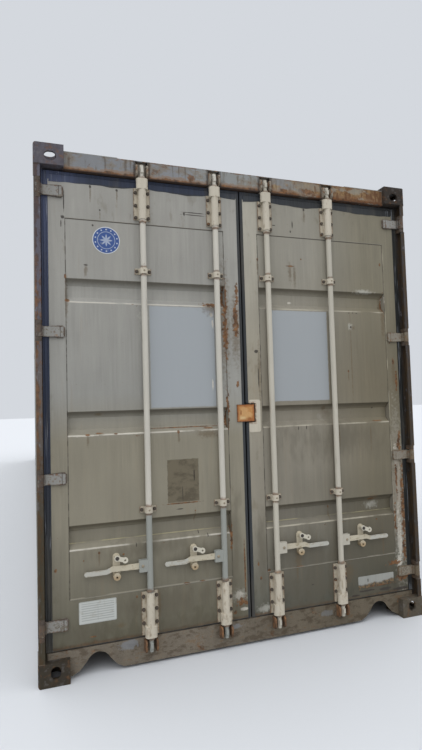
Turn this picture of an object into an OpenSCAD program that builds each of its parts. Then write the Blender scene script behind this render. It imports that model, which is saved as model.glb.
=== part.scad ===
// Forty foot high cube dry freight container with two cargo doors.
// Origin on the ground under the centre, +Z up, doors at the -Y end.
// s is the distance in from a side face, t the distance in from an end plane.

/* [Overall] */
// Length over the corner castings
body_l = 12192; // [6058:1:13716]
// Width over the corner castings
body_w = 2438; // [2430:1:2600]
// Height over the corner castings
body_h = 2896; // [2880:1:3000]

/* [Corner castings] */
// Casting size along the container
casting_l = 178; // [178:1:190]
// Casting size across the container
casting_w = 162; // [158:1:170]
// Casting height
casting_h = 118; // [116:1:124]
// Wall of the outer side and end faces
casting_wall = 16; // [14:0.5:18]
// Plate round the twist-lock slot
casting_plate = 28; // [26:0.5:30]
// Wall of the hidden inner faces
casting_back = 8; // [6:0.5:9]
// Radius of the outer upright edge
casting_round = 14; // [8:1:18]
// Length of the twist-lock slot
lock_slot_l = 124.5; // [120:0.5:126]
// Width of the twist-lock slot
lock_slot_w = 63.5; // [60:0.5:66]
// Twist-lock slot centre in from the end plane
lock_slot_t = 103.5; // [102:0.5:105]
// Twist-lock slot centre in from the side face
lock_slot_s = 89.5; // [88:0.5:91]
// Length of the slot in a side face
side_slot_l = 79.5; // [76:0.5:82]
// Length of the slot in an end face
end_slot_l = 65; // [62:0.5:68]
// Width of the side and end slots
face_slot_w = 51; // [48:0.5:53]

/* [Posts and rails] */
// Inset of posts and rails behind the casting side faces
frame_inset = 3; // [3:0.5:4]
// Plate of the outer corner posts
post_plate = 6; // [5:0.5:7]
// Width of the post's rear strip beside the hinges
post_strip = 33; // [31:0.5:35]
// Depth of the outer corner post along the side
post_depth = 160; // [156:1:170]
// Width of the inner post channel
channel_w = 40; // [38:0.5:41]
// Depth of the inner post channel
channel_d = 113; // [110:1:116]
// Thickness of the inner post channel
channel_plate = 12; // [10:0.5:13]
// Leg of the front corner posts across the front
front_leg = 130; // [120:1:140]
// Side of the square top rails
top_rail = 60; // [55:1:60]
// Wall of the top rails
top_rail_wall = 3; // [2.5:0.5:4]
// Height of the bottom side rails
bottom_rail_h = 162; // [155:1:165]
// Flange width of the bottom side rails
bottom_rail_w = 48; // [44:1:50]
// Plate of the bottom side rails
bottom_rail_plate = 4.5; // [4:0.5:6]
// Height of the base frame above the casting feet
base_clear = 12.5; // [11:0.5:16]
// Drop of the roof below the casting tops
roof_drop = 6; // [6:0.5:8]

/* [Walls and roof] */
// Sheet of the side walls and the roof
sheet = 2; // [1.6:0.1:2.5]
// Depth of the side wall corrugation
side_depth = 36; // [30:0.5:38]
// Pitch of the side wall corrugation
side_pitch = 278; // [260:1:290]
// Outer flat of the side wall corrugation
side_flat = 72; // [60:1:80]
// Slope run of the side wall corrugation
side_slope = 68; // [50:1:70]
// Depth of the front wall corrugation
front_depth = 45.6; // [40:0.1:48]
// Pitch of the front wall corrugation
front_pitch = 250; // [240:1:260]
// Outer flat of the front wall corrugation
front_flat = 110; // [95:1:115]
// Slope run of the front wall corrugation
front_slope = 18; // [14:1:22]
// Depth of the roof corrugation
roof_depth = 18; // [14:0.5:18]
// Pitch of the roof corrugation
roof_pitch = 209; // [200:1:220]
// Ridge flat of the roof corrugation
roof_flat = 91; // [85:1:95]
// Slope run of the roof corrugation
roof_slope = 14; // [12:1:18]

/* [Base] */
// Height of the floor surface
floor_z = 170; // [168:1:172]
// Thickness of the floor boards
floor_thick = 28; // [25:1:30]
// Height of the cross members
member_h = 122; // [110:1:124]
// Flange width of the cross members
member_w = 45; // [40:1:50]
// Plate of the cross members
member_plate = 4; // [3:0.5:4.5]
// Largest pitch of the cross members
member_pitch = 305; // [250:5:400]
// Clear width of the gooseneck tunnel
tunnel_w = 1029; // [1000:1:1040]
// Length of the gooseneck tunnel, from the front end
tunnel_l = 3315; // [3000:5:3400]
// Clear height of the gooseneck tunnel
tunnel_h = 120; // [110:1:125]
// Plate of the gooseneck tunnel
tunnel_plate = 8; // [5:0.5:10]

/* [Door end frame] */
// Depth of the header face behind the casting plane
header_t = 28; // [26:1:30]
// Height of the header face
header_h = 100; // [94:1:102]
// Height of the lintel under the header
lintel_h = 32; // [28:1:40]
// Depth of the header box
header_d = 122; // [110:1:126]
// Plate of the header
header_plate = 4; // [3:0.5:5]
// Depth of the header's front boxes, which leave a pocket at each bar
header_box_d = 28; // [26:1:30]
// Depth of the sill face behind the casting plane
sill_t = 48; // [47:0.5:48.5]
// Height of the sill's threshold plate
sill_z = 150; // [147:1:151]
// Depth of the sill
sill_d = 100; // [95:1:110]
// Plate of the sill
sill_plate = 6; // [5:0.5:7]
// Centre of the arched notches in the sill, from the middle
notch_x = 905; // [880:5:920]
// Height of the arched notches in the sill
notch_z = 119; // [100:1:124]
// Half width of the arched notches at the foot
notch_half = 100; // [80:1:110]
// Flare of the notches at the sill's lower edge
notch_flare = 40; // [30:1:50]

/* [Doors] */
// Depth of the door faces behind the casting plane
door_t = 50; // [50:0.5:51]
// Thickness of a door leaf
door_d = 50; // [46:1:52]
// Height of the door bottoms
door_z0 = 160; // [158:1:162]
// Gap between the door tops and the header's lower edge
door_top_gap = 54; // [52:1:60]
// Hinge edge of a door, in from the side face
door_s = 76; // [72:1:80]
// Gap between the two leaves
leaf_gap = 44; // [40:1:46]
// Width of the hinge side stiles
hinge_stile = 90; // [84:1:96]
// Width of the lock side stiles
lock_stile = 92; // [88:1:96]
// Wall of the stiles
stile_wall = 4; // [3:0.5:5]
// Height of the bottom rails
door_rail_low = 250; // [240:1:254]
// Height of the top rails
door_rail_top = 212; // [204:1:216]
// Plate of the rails
rail_plate = 3.5; // [3:0.5:5]
// Sheet of the door panels
panel_sheet = 3; // [2:0.5:3.5]
// Depth of the three grooves in a door panel
groove_d = 36; // [30:1:38]
// Height of a groove at the face
groove_h = 132; // [126:1:138]
// Height of the slope of a groove
groove_slope = 34; // [28:1:38]
// Centre of the lowest groove, above the panel's lower edge
groove_low = 326; // [320:1:335]
// Centre of the highest groove, below the panel's upper edge
groove_top = 408; // [400:1:415]
// Height of the middle groove between the lowest and the highest, as a share
groove_mid = 0.454; // [0.44:0.002:0.47]
// Space kept between a moving piece and its surroundings
move_gap = 5; // [4:0.5:5]
// Depth of the door seal
seal_d = 25; // [22:1:26]
// Thickness of the seal's lip over the post
seal_lip = 3; // [2:0.5:4]
// Guard plate over the seals: its reach to the left and right of the gap's middle
guard_x = [-56, 58]; // [-80:1:80]
// Height of the guard plate
guard_h = 105; // [90:1:120]
// Top of the guard plate, below the middle of the leaves
guard_drop = 5; // [0:1:20]
// Thickness of the guard plate
guard_plate = 6; // [4:0.5:6]

/* [Hinges] */
// Centre of the lowest hinge, above the door bottoms
hinge_low = 130; // [120:1:140]
// Centre of the highest hinge, below the door tops
hinge_top = 67; // [60:1:75]
// Hinge pin in from the side face
pin_s = 22; // [21:0.5:22.5]
// Hinge pin in from the casting plane
pin_t = 17; // [17:0.5:18]
// Hinge pin radius
pin_r = 9; // [8:0.5:10]
// Radial clearance of pins, bars and rivets in their holes
run_fit = 0.08; // [0.02:0.01:0.09]
// Radius of the hinge knuckles
knuckle_r = 15; // [14:0.5:15.5]
// Height of a hinge blade
blade_h = 64; // [60:1:76]
// Thickness of a hinge blade
blade_plate = 12; // [10:1:13]
// Far end of a hinge blade, in from the side face
blade_s = 157; // [140:1:160]
// Height of a hinge lug
lug_h = 24; // [20:1:28]
// Gap between a knuckle and its lugs
lug_gap = 2; // [1:0.5:3]
// Height of the second hinge, as a share of the leaf
hinge_share_2 = 0.353; // [0.34:0.001:0.37]
// Height of the third hinge, as a share of the leaf
hinge_share_3 = 0.666; // [0.65:0.001:0.68]

/* [Locking gear] */
// Lock bar radius
bar_r = 17; // [16:0.5:17.5]
// Lock bar axis behind the casting plane
bar_t = 25; // [25:0.5:25.5]
// Lock bars beside the middle, from the centre line
bar_in_x = 171; // [165:1:180]
// Lock bars further out, from the centre line
bar_out_x = 618; // [600:1:630]
// Radius of the bearing sleeves
sleeve_r = 22; // [21:0.5:23]
// Width of the flared end of a sleeve
flare_w = 68; // [56:1:74]
// Height of the flared end of a sleeve
flare_h = 62; // [50:1:75]
// Length of the upper sleeves
sleeve_l = 239; // [225:1:245]
// Gap between the upper sleeves and the header's lower edge
sleeve_gap = 8; // [6:1:15]
// Height of the top of the lower sleeves
foot_top_z = 400; // [390:1:405]
// Height of the bottom of the lower sleeves
foot_low_z = 156; // [155:1:158]
// Width of the bracket plates
bracket_w = 96; // [92:1:100]
// Thickness of the bracket plates
bracket_plate = 6; // [5:0.5:7]
// Centre of the upper bar guides, below the door tops
guide_drop = 496; // [485:1:505]
// Height of the lower bar guides
guide_low_z = 857; // [850:1:865]
// Length of a bar guide
guide_h = 34; // [30:1:38]
// Radius of the locking cams
cam_r = 19; // [18:0.5:19.5]
// Thickness of the locking cams
cam_w = 16; // [12:1:18]
// Height of the locking cams
cam_h = 28; // [24:1:30]
// Radius of the bar ends that carry the cams
cam_stem_r = 12; // [10:0.5:13]
// Height of the collars on a bar
collar_h = 12; // [10:1:14]
// Height of a keeper
keeper_h = 66; // [60:1:70]
// Thickness of a keeper ear
keeper_plate = 10; // [8:0.5:12]
// Room between a keeper ear and the cam
keeper_gap = 7; // [6:0.5:8]

/* [Handles] */
// Height of the handle hubs
hub_z = 552; // [545:1:560]
// Handle pin out from the bar axis
hub_x = 42; // [40:1:44]
// Height of a handle hub
hub_h = 67; // [60:1:70]
// Plate of a handle hub
hub_plate = 6; // [5:0.5:6.5]
// Thickness of a handle
handle_d = 10; // [9:0.5:11]
// Depth of a handle's flat side
handle_h = 32; // [28:1:34]
// Depth of a handle's grip
grip_h = 24; // [20:1:26]
// Length of a handle from its pin
handle_l = 318; // [290:1:320]
// Distance from a bar to its handle retainer, on the left and on the right leaf
catch_x = [184, 166]; // [160:1:188]
// Height of the catch rivets
catch_z = 612; // [610:1:618]
// Length of a catch between its holes
catch_l = 46; // [42:1:48]
// Radius of a catch's rings
catch_r = 16; // [15:0.5:16.5]
// Thickness of a catch
catch_plate = 7; // [6:0.5:7]
// Angle at which the catches are turned aside
catch_turn = 72; // [70:1:90]
// Radius of the rivets that the catches turn on
catch_pin_r = 8; // [7:0.5:9]
// Radius of the posts behind the catches
catch_post_r = 13; // [12:0.5:13.5]
// Width of a handle retainer
retainer_w = 40; // [36:1:42]
// Height of the seal ears below the handles
ear_z = 510; // [505:1:511]
// Radius of a seal ear
ear_r = 20; // [18:0.5:21]
// Radius of the pins of the handles
rivet_r = 5; // [4:0.5:6]

/* [Hidden] */
$fn = 48;
eps = 1;
half_w = body_w / 2;
half_l = body_l / 2;
post_h = body_h - 2 * casting_h;
strip_t = 5;
post_round = 8;
front_round = 12;
channel_t = 60;
opening_s = frame_inset + post_plate + channel_w;
rail_top_z = body_h - roof_drop - roof_depth - sheet;
rail_low_z = rail_top_z - top_rail;
sill_bottom_z = base_clear + 2.5;
floor_z0 = floor_z - floor_thick;
wall_s = 5;
wall_lap = 20;
side_t0 = strip_t + post_depth;
side_run = body_l - 2 * side_t0;
side_n = floor((side_run - side_flat) / side_pitch);
side_rest = (side_run - side_n * side_pitch - side_flat) / 2;
header_z = rail_top_z - header_h;
lintel_z = header_z - lintel_h;
door_z1 = header_z - door_top_gap;
door_h = door_z1 - door_z0;
panel_z0 = door_z0 + door_rail_low;
panel_z1 = door_z1 - door_rail_top;
groove_z0 = panel_z0 + groove_low;
groove_z1 = panel_z1 - groove_top;
groove_zs = [groove_z0, groove_z0 + groove_mid * (groove_z1 - groove_z0), groove_z1];
sleeve_top_z = header_z - sleeve_gap;
sleeve_low_z = sleeve_top_z - sleeve_l;
guide_high_z = door_z1 - guide_drop;
cam_low_z = 78;
cam_top_z = header_z + header_plate + 2;
leaf_s1 = half_w - leaf_gap / 2;
hinge_z = [door_z0 + hinge_low, door_z0 + hinge_share_2 * door_h, door_z0 + hinge_share_3 * door_h,
           door_z1 - hinge_top];
bar_xs = [-bar_out_x, -bar_in_x, bar_in_x, bar_out_x];
knuckle_half = blade_h / 2;
notch_half_z = knuckle_half + lug_gap + lug_h;
window_half = cam_r + keeper_gap + keeper_plate;
header_web_t = header_t + header_box_d;
notch_t = 50;
seat_gap = 0.3;
post_inner_s = frame_inset + post_plate;
seal_t = door_t + 2;
guard_z1 = door_z0 + door_h / 2 - guard_drop;
guard_z0 = guard_z1 - guard_h;
guard_room = move_gap + 1;
crank_rise = 4;
crank_l = 30;
grip_drop = -10;
ear_hole_r = 6;
ear_hole_drop = 4;
catch_hole_r = 6;
catch_t = bar_t - handle_d / 2 - move_gap - catch_plate - 1;
keeper_bevel = 12;
cam_lift = 20;
floor_t0 = sill_t + sill_d;
member_span = half_w - frame_inset - bottom_rail_plate;
member_z0 = floor_z0 - member_h;
base_y0 = -half_l + floor_t0;
base_y1 = half_l - strip_t - top_rail;
member_n = ceil((base_y1 - base_y0) / member_pitch) - 1;
member_step = (base_y1 - base_y0) / (member_n + 1);
tunnel_y0 = half_l - tunnel_l;
vent_h = 130;
vent_drop = 260;
vent_bay = 4;
corner_plate_w = 300;

// Places its children in s and t from the left corner of the door end
module door_end_left() {
    translate([-half_w, -half_l, 0]) children();
}

module both_sides() {
    children();
    mirror([1, 0, 0]) children();
}

module both_ends() {
    children();
    mirror([0, 1, 0]) children();
}

module door_side(right) {
    mirror([right ? 1 : 0, 0, 0]) children();
}

// Extrudes a profile drawn in t and z along X
module along_x(x0, x1) {
    translate([x0, -half_l, 0]) rotate([90, 0, 90]) linear_extrude(x1 - x0) children();
}

module slot_2d(length, width) {
    square([length - width, width], center = true);
    for (x = [-1, 1]) translate([x * (length - width) / 2, 0]) circle(width / 2);
}

// Angle section with a rounded outer corner at the origin
module angle_2d(a, b, plate, round) {
    difference() {
        union() {
            translate([round, 0]) square([a - round, b]);
            translate([0, round]) square([a, b - round]);
            translate([round, round]) circle(round);
        }
        translate([plate, plate]) square([a, b]);
    }
}

// Centre line points of a corrugation: [depth, run]
function wave(n, pitch, flat, slope, depth) = [
    for (i = [0 : n - 1])
        each [[0, i * pitch], [0, i * pitch + flat],
              [depth, i * pitch + flat + slope], [depth, (i + 1) * pitch - slope]]
];
function shifted(points, by) = [for (p = points) [p[0] + by, p[1]]];
function reversed(points) = [for (i = [len(points) - 1 : -1 : 0]) points[i]];
function swapped(points) = [for (p = points) [p[1], p[0]]];
// Closed outline of a corrugated sheet with flats that fill a run
function sheet_outline(run, pitch, flat, slope, depth, thick) =
    let (n = floor((run - flat) / pitch),
         rest = (run - n * pitch - flat) / 2,
         line = concat([[0, -rest]], wave(n, pitch, flat, slope, depth),
                       [[0, n * pitch], [0, n * pitch + flat + rest]]),
         path = [for (p = line) [p[0], p[1] + rest]])
    concat(path, reversed(shifted(path, thick)));

// Corner castings
module corner_2d(width, height, round) {
    translate([round, 0]) square([width - round, height]);
    translate([0, round]) square([round, height - round]);
    translate([round, round]) circle(round);
}

module casting_body() {
    intersection() {
        linear_extrude(casting_h) corner_2d(casting_w, casting_l, casting_round);
        translate([0, casting_l + eps, casting_h]) rotate([90, 0, 0]) mirror([0, 1, 0])
            linear_extrude(casting_l + 2 * eps) corner_2d(casting_w, casting_h, casting_round);
    }
}

// Casting with its slotted plate on top, outer corner at the origin
module casting(end_upright) {
    slot_z = (casting_h - casting_plate + casting_back) / 2;
    difference() {
        casting_body();
        translate([casting_wall, casting_wall, casting_back])
            cube([casting_w - casting_wall - casting_back, casting_l - casting_wall - casting_back,
                  casting_h - casting_plate - casting_back]);
        translate([lock_slot_s, lock_slot_t, casting_h - casting_plate - eps])
            linear_extrude(casting_plate + 2 * eps) rotate(90) slot_2d(lock_slot_l, lock_slot_w);
        translate([-eps, lock_slot_t, slot_z]) rotate([90, 0, 90])
            linear_extrude(casting_wall + 2 * eps) slot_2d(side_slot_l, face_slot_w);
        translate([lock_slot_s, casting_wall + eps, slot_z]) rotate([90, 0, 0])
            linear_extrude(casting_wall + 2 * eps) rotate(end_upright ? 90 : 0)
                slot_2d(end_slot_l, face_slot_w);
    }
}

module top_corner_castings() {
    color("#4a4240") both_ends() both_sides()
        translate([-half_w, -half_l, body_h - casting_h]) casting(false);
}

module bottom_corner_castings() {
    color("#473d30") both_ends() both_sides()
        translate([-half_w, -half_l, casting_h]) mirror([0, 0, 1]) casting(true);
}

// Corner posts
module rear_post() {
    difference() {
        linear_extrude(post_h)
            translate([frame_inset, strip_t]) angle_2d(post_strip, post_depth, post_plate, post_round);
        for (z = hinge_z)
            translate([-eps, -eps, z - casting_h - notch_half_z - seat_gap])
                cube([frame_inset + post_strip + 2 * eps, notch_t + eps, 2 * (notch_half_z + seat_gap)]);
    }
    translate([frame_inset + post_plate, channel_t, 0]) linear_extrude(post_h) difference() {
        square([channel_w, channel_d]);
        translate([-eps, channel_plate])
            square([channel_w - channel_plate + eps, channel_d - 2 * channel_plate]);
    }
}

module rear_corner_posts() {
    color("#58504a") both_sides() door_end_left() translate([0, 0, casting_h]) rear_post();
}

module front_corner_posts() {
    color("#6f7068") both_sides() mirror([0, 1, 0]) door_end_left() translate([0, 0, casting_h])
        linear_extrude(post_h) translate([frame_inset, strip_t])
            angle_2d(front_leg, post_depth, post_plate, front_round);
}

// Door end frame
module header_profile() {
    depth = header_t + header_d - header_web_t;
    difference() {
        translate([header_web_t, header_z]) square([depth, header_h]);
        translate([header_web_t + header_plate, header_z + header_plate])
            square([depth - 2 * header_plate, header_h - 2 * header_plate]);
    }
}

// Front boxes between the pockets, open to the back, under a lip that runs through
module header_front_profile() {
    lip_z = rail_top_z - header_plate;
    back_t = header_web_t - seat_gap;
    difference() {
        translate([header_t, header_z]) square([back_t - header_t, lip_z - seat_gap - header_z]);
        translate([header_t + header_plate, header_z + header_plate])
            square([header_box_d, lip_z - seat_gap - header_z - 2 * header_plate]);
    }
}

module header_lip_profile() {
    translate([header_t, rail_top_z - header_plate])
        square([header_box_d - seat_gap, header_plate]);
}

module lintel_profile() {
    lintel_t = seal_t + seal_d + move_gap;
    lintel_d = header_t + header_d - lintel_t;
    difference() {
        translate([lintel_t, lintel_z]) square([lintel_d, header_z - lintel_z]);
        translate([lintel_t + header_plate, lintel_z + header_plate])
            square([lintel_d - 2 * header_plate, header_z - lintel_z - 2 * header_plate]);
    }
}

module door_header() {
    span = half_w - casting_w;
    starts = concat([-span], [for (x = bar_xs) x + window_half]);
    ends = concat([for (x = bar_xs) x - window_half], [span]);
    color("#7d7f82") {
        along_x(-span, span) {
            header_profile();
            header_lip_profile();
        }
        for (i = [0 : len(starts) - 1]) along_x(starts[i], ends[i]) header_front_profile();
        along_x(-half_w + opening_s, half_w - opening_s) lintel_profile();
    }
}

// Outline of an arched notch, a half ellipse on flared feet
module arch_2d() {
    foot = sill_bottom_z + 20;
    arch_r = notch_half * 0.72;
    polygon(concat(
        [[-notch_half - notch_flare, sill_bottom_z - eps], [-notch_half, foot]],
        [for (a = [150 : -15 : 30]) [arch_r * cos(a), foot + (notch_z - foot) * sin(a)]],
        [[notch_half, foot], [notch_half + notch_flare, sill_bottom_z - eps]]));
}

module door_sill() {
    inner_t = sill_t + sill_plate;
    color("#5d5447") difference() {
        along_x(-half_w + opening_s, half_w - opening_s) {
            difference() {
                translate([sill_t, sill_bottom_z]) square([sill_d, sill_z - sill_bottom_z]);
                translate([inner_t, sill_bottom_z + sill_plate])
                    square([sill_d, sill_z - sill_bottom_z - 2 * sill_plate]);
            }
        }
        both_sides() door_end_left() {
            translate([-eps, -eps, 0]) cube([casting_w + eps, casting_l, casting_h]);
        }
        for (x = [-notch_x, notch_x])
            translate([x, -half_l + inner_t + sill_d + eps, 0]) rotate([90, 0, 0])
                linear_extrude(sill_plate + sill_d + 2 * eps) arch_2d();
    }
}

// Two ears that stand either side of a cam
module keeper(x, t_back, z0) {
    depth = t_back - strip_t;
    for (side = [-1, 1])
        translate([x + side * (window_half - keeper_plate / 2), -half_l + strip_t, z0])
            translate([-keeper_plate / 2, 0, 0]) rotate([90, 0, 90]) linear_extrude(keeper_plate)
                polygon([[0, keeper_bevel], [0, keeper_h - keeper_bevel], [keeper_bevel, keeper_h],
                         [depth, keeper_h], [depth, 0], [keeper_bevel, 0]]);
}

module bar_keepers() {
    color("#5a4a40") for (x = bar_xs) {
        keeper(x, header_web_t, cam_top_z);
        keeper(x, sill_t, cam_low_z);
    }
}

// Hinges
module hinge_lug_2d() {
    translate([pin_s, pin_t]) circle(knuckle_r);
    translate([pin_s - knuckle_r, pin_t]) square([2 * knuckle_r, notch_t - seat_gap - pin_t]);
    translate([post_inner_s + seat_gap, pin_t])
        square([pin_s + knuckle_r - post_inner_s - seat_gap, channel_t - pin_t]);
}

module hinge_lugs() {
    color("#4b423a") both_sides() door_end_left() for (z = hinge_z) {
        for (side = [-1, 1])
            translate([0, 0, z + side * (knuckle_half + lug_gap + lug_h / 2) - lug_h / 2])
                linear_extrude(lug_h) hinge_lug_2d();
        translate([pin_s, pin_t, z - notch_half_z]) cylinder(r = pin_r, h = 2 * notch_half_z);
    }
}

// Blade welded to a leaf, narrower at the root beside its knuckle
module hinge_blade() {
    root_half = knuckle_half - 4;
    root_s = pin_s + 8;
    waist_s = pin_s + 30;
    corner = 8;
    difference() {
        union() {
            translate([pin_s, pin_t, -knuckle_half]) cylinder(r = knuckle_r, h = blade_h);
            translate([pin_s, pin_t + 8, -root_half])
                cube([knuckle_r + 8, door_t - pin_t - 8, 2 * root_half]);
            translate([0, door_t, 0]) rotate([90, 0, 0]) linear_extrude(blade_plate)
                polygon([[root_s, -root_half], [waist_s, -root_half],
                         [blade_s - 5 * corner, -knuckle_half], [blade_s - corner, -knuckle_half],
                         [blade_s, -knuckle_half + corner], [blade_s, knuckle_half - corner],
                         [blade_s - corner, knuckle_half], [blade_s - 5 * corner, knuckle_half],
                         [waist_s, root_half], [root_s, root_half]]);
        }
        translate([pin_s, pin_t, -knuckle_half - eps])
            cylinder(r = pin_r + run_fit, h = blade_h + 2 * eps);
    }
}

module door_hinges(right) {
    color("#8b877c") door_side(right) door_end_left() for (z = hinge_z)
        translate([0, 0, z]) hinge_blade();
}

// Side rails and end rails
module top_side_rails() {
    color("#7a7b76") both_sides() translate([-half_w + frame_inset, 0, rail_low_z])
        rotate([90, 0, 0]) linear_extrude(body_l - 2 * casting_l, center = true) difference() {
            square(top_rail);
            translate([top_rail_wall, top_rail_wall]) square(top_rail - 2 * top_rail_wall);
        }
}

module bottom_side_rails() {
    color("#5f5a50") both_sides() translate([-half_w + frame_inset, 0, base_clear])
        rotate([90, 0, 0]) linear_extrude(body_l - 2 * casting_l, center = true) difference() {
            square([bottom_rail_w, bottom_rail_h]);
            translate([bottom_rail_plate, bottom_rail_plate])
                square([bottom_rail_w, bottom_rail_h - 2 * bottom_rail_plate]);
        }
}

module front_end_rails() {
    span = half_w - casting_w;
    color("#6b6c66") mirror([0, 1, 0]) {
        along_x(-span, span) translate([strip_t, rail_low_z]) difference() {
            square(top_rail);
            translate([top_rail_wall, top_rail_wall]) square(top_rail - 2 * top_rail_wall);
        }
        for (side = [-1, 1])
            along_x(side > 0 ? tunnel_w / 2 + tunnel_plate : -span,
                    side > 0 ? span : -tunnel_w / 2 - tunnel_plate)
                translate([strip_t, base_clear]) difference() {
                    square([top_rail, bottom_rail_h]);
                    translate([sill_plate, sill_plate])
                        square([top_rail, bottom_rail_h - 2 * sill_plate]);
                }
    }
}

// Base
module member_2d() {
    difference() {
        square([member_w, member_h]);
        translate([member_plate, member_plate])
            square([member_w, member_h - 2 * member_plate]);
    }
}

module cross_member(x0, x1) {
    translate([x0, 0, 0]) rotate([90, 0, 90]) linear_extrude(x1 - x0) member_2d();
}

module cross_members() {
    inner = tunnel_w / 2 + tunnel_plate;
    color("#4c4740") for (i = [1 : member_n]) {
        y = base_y0 + i * member_step;
        translate([0, y, member_z0])
            if (y + member_w < tunnel_y0) {
                cross_member(-member_span, member_span);
            } else {
                cross_member(-member_span, -inner);
                cross_member(inner, member_span);
            }
    }
}

module gooseneck_tunnel() {
    inner = tunnel_w / 2;
    outer = inner + tunnel_plate;
    color("#554f45") translate([0, half_l - strip_t, 0]) rotate([90, 0, 0])
        linear_extrude(tunnel_l - strip_t) difference() {
            translate([-outer, member_z0]) square([2 * outer, floor_z0 - member_z0]);
            translate([-inner, 0]) square([2 * inner, floor_z0 - tunnel_plate]);
        }
}

module plywood_floor() {
    floor_half = half_w - wall_s - side_depth - sheet - eps;
    color("#7a5f42") difference() {
        translate([-floor_half, -half_l + floor_t0, floor_z0])
            cube([2 * floor_half, body_l - floor_t0 - strip_t - top_rail, floor_thick]);
        both_sides() door_end_left()
            cube([opening_s + eps, channel_t + channel_d + eps, floor_z + eps]);
    }
}

// Room of the castings and the rail ends, taken out of the sheets that meet them
module casting_room(z0) {
    both_ends() both_sides() door_end_left()
        translate([-eps, -eps, z0])
            cube([casting_w + 2 * eps, casting_l + 2 * eps, body_h - z0]);
}

// Walls and roof
module side_wall() {
    wall_z0 = base_clear + bottom_rail_h;
    difference() {
        translate([-half_w + wall_s, -half_l + side_t0, wall_z0])
            linear_extrude(rail_low_z - wall_z0)
                polygon(sheet_outline(side_run, side_pitch, side_flat, side_slope, side_depth,
                                      sheet));
        casting_room(body_h - casting_h);
    }
}

module left_side_wall() { color("#8c8b84") side_wall(); }
module right_side_wall() { color("#86857c") mirror([1, 0, 0]) side_wall(); }

module front_wall() {
    wall_z0 = base_clear + bottom_rail_h;
    run = body_w - 2 * (frame_inset + front_leg - wall_lap);
    color("#88877f") difference() {
        translate([-run / 2, half_l - strip_t - post_plate, wall_z0])
            mirror([0, 1, 0]) linear_extrude(rail_low_z - wall_z0)
                polygon(swapped(sheet_outline(run, front_pitch, front_flat, front_slope,
                                              front_depth, sheet)));
        casting_room(body_h - casting_h);
    }
}

module roof() {
    roof_t0 = header_t + header_d;
    span = half_w - frame_inset;
    run = body_l - roof_t0 - strip_t - top_rail;
    color("#7f807c") difference() {
        translate([-span, -half_l + roof_t0, rail_top_z + roof_depth + sheet]) mirror([0, 0, 1])
            rotate([90, 0, 90]) linear_extrude(2 * span)
                polygon(swapped(sheet_outline(run, roof_pitch, roof_flat, roof_slope,
                                              roof_depth, sheet)));
        casting_room(rail_top_z - eps);
    }
}

module roof_corner_plates() {
    color("#77787a") both_sides() {
        translate([-half_w + casting_w, -half_l + header_t, rail_top_z])
            cube([corner_plate_w, header_d, member_plate]);
        translate([-half_w + casting_w, half_l - strip_t - top_rail, rail_top_z])
            cube([corner_plate_w, top_rail, member_plate]);
    }
}

module ventilators() {
    vent_w = side_flat - 10;
    vent_y = -half_l + side_t0 + side_rest + side_flat / 2 + vent_bay * side_pitch;
    color("#9a9a94") both_sides() both_ends()
        translate([-half_w + frame_inset, vent_y - vent_w / 2, rail_low_z - vent_drop])
            cube([wall_s - frame_inset, vent_w, vent_h]);
}

// Door leaves, drawn for the left leaf
module leaf_box(s0, s1, z0, z1, t0, t1) {
    door_end_left() translate([s0, t0, z0]) cube([s1 - s0, t1 - t0, z1 - z0]);
}

module stile(s0, width) {
    difference() {
        leaf_box(s0, s0 + width, door_z0, door_z1, door_t, door_t + door_d);
        leaf_box(s0 + stile_wall, s0 + width - stile_wall, door_z0 - eps, door_z1 + eps,
                 door_t + stile_wall, door_t + door_d - stile_wall);
    }
}

module leaf_rail(z0, z1) {
    s0 = door_s + hinge_stile;
    s1 = leaf_s1 - lock_stile;
    difference() {
        leaf_box(s0, s1, z0, z1, door_t, door_t + door_d);
        leaf_box(s0 - eps, s1 + eps, z0 + rail_plate, z1 - rail_plate,
                 door_t + rail_plate, door_t + door_d + eps);
    }
}

module leaf_frame() {
    stile(door_s, hinge_stile);
    stile(leaf_s1 - lock_stile, lock_stile);
    leaf_rail(door_z0, door_z0 + door_rail_low);
    leaf_rail(door_z1 - door_rail_top, door_z1);
}

// Room for the guard plate that is fixed to the other leaf
module guard_plate_room() {
    reach = guard_x[1] + guard_room + 2;
    translate([-reach, -half_l, guard_z0 - guard_room])
        cube([reach + eps, door_t + door_d + eps, guard_h + 2 * guard_room]);
}

module left_door_frame() { color("#8f8d84") leaf_frame(); }
module right_door_frame() {
    color("#8a877c") mirror([1, 0, 0]) difference() {
        leaf_frame();
        guard_plate_room();
    }
}

function groove(zc) = [
    [door_t, zc - groove_h / 2], [door_t + groove_d, zc - groove_h / 2 + groove_slope],
    [door_t + groove_d, zc + groove_h / 2 - groove_slope], [door_t, zc + groove_h / 2]
];

module leaf_panel() {
    line = concat([[door_t, panel_z0]], [for (z = groove_zs) each groove(z)], [[door_t, panel_z1]]);
    along_x(-half_w + door_s + hinge_stile, -half_w + leaf_s1 - lock_stile)
        polygon(concat(line, reversed(shifted(line, panel_sheet))));
}

module left_door_panel() { color("#8d8b82") leaf_panel(); }
module right_door_panel() { color("#88857a") mirror([1, 0, 0]) leaf_panel(); }

// Rubber seal round a leaf, with a thin lip over the post
module leaf_seal() {
    s_out = opening_s + move_gap;
    z_low = sill_z + move_gap;
    z_top = header_z - move_gap;
    s_mid = half_w - move_gap;
    difference() {
        union() {
            leaf_box(s_out, s_mid, z_low, z_top, seal_t, seal_t + seal_d);
            leaf_box(frame_inset + post_strip + move_gap, door_s + eps, z_low, z_top,
                     seal_t, seal_t + seal_lip);
        }
        leaf_box(door_s, leaf_s1, door_z0, door_z1, seal_t - eps, seal_t + seal_d + eps);
    }
}

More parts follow.
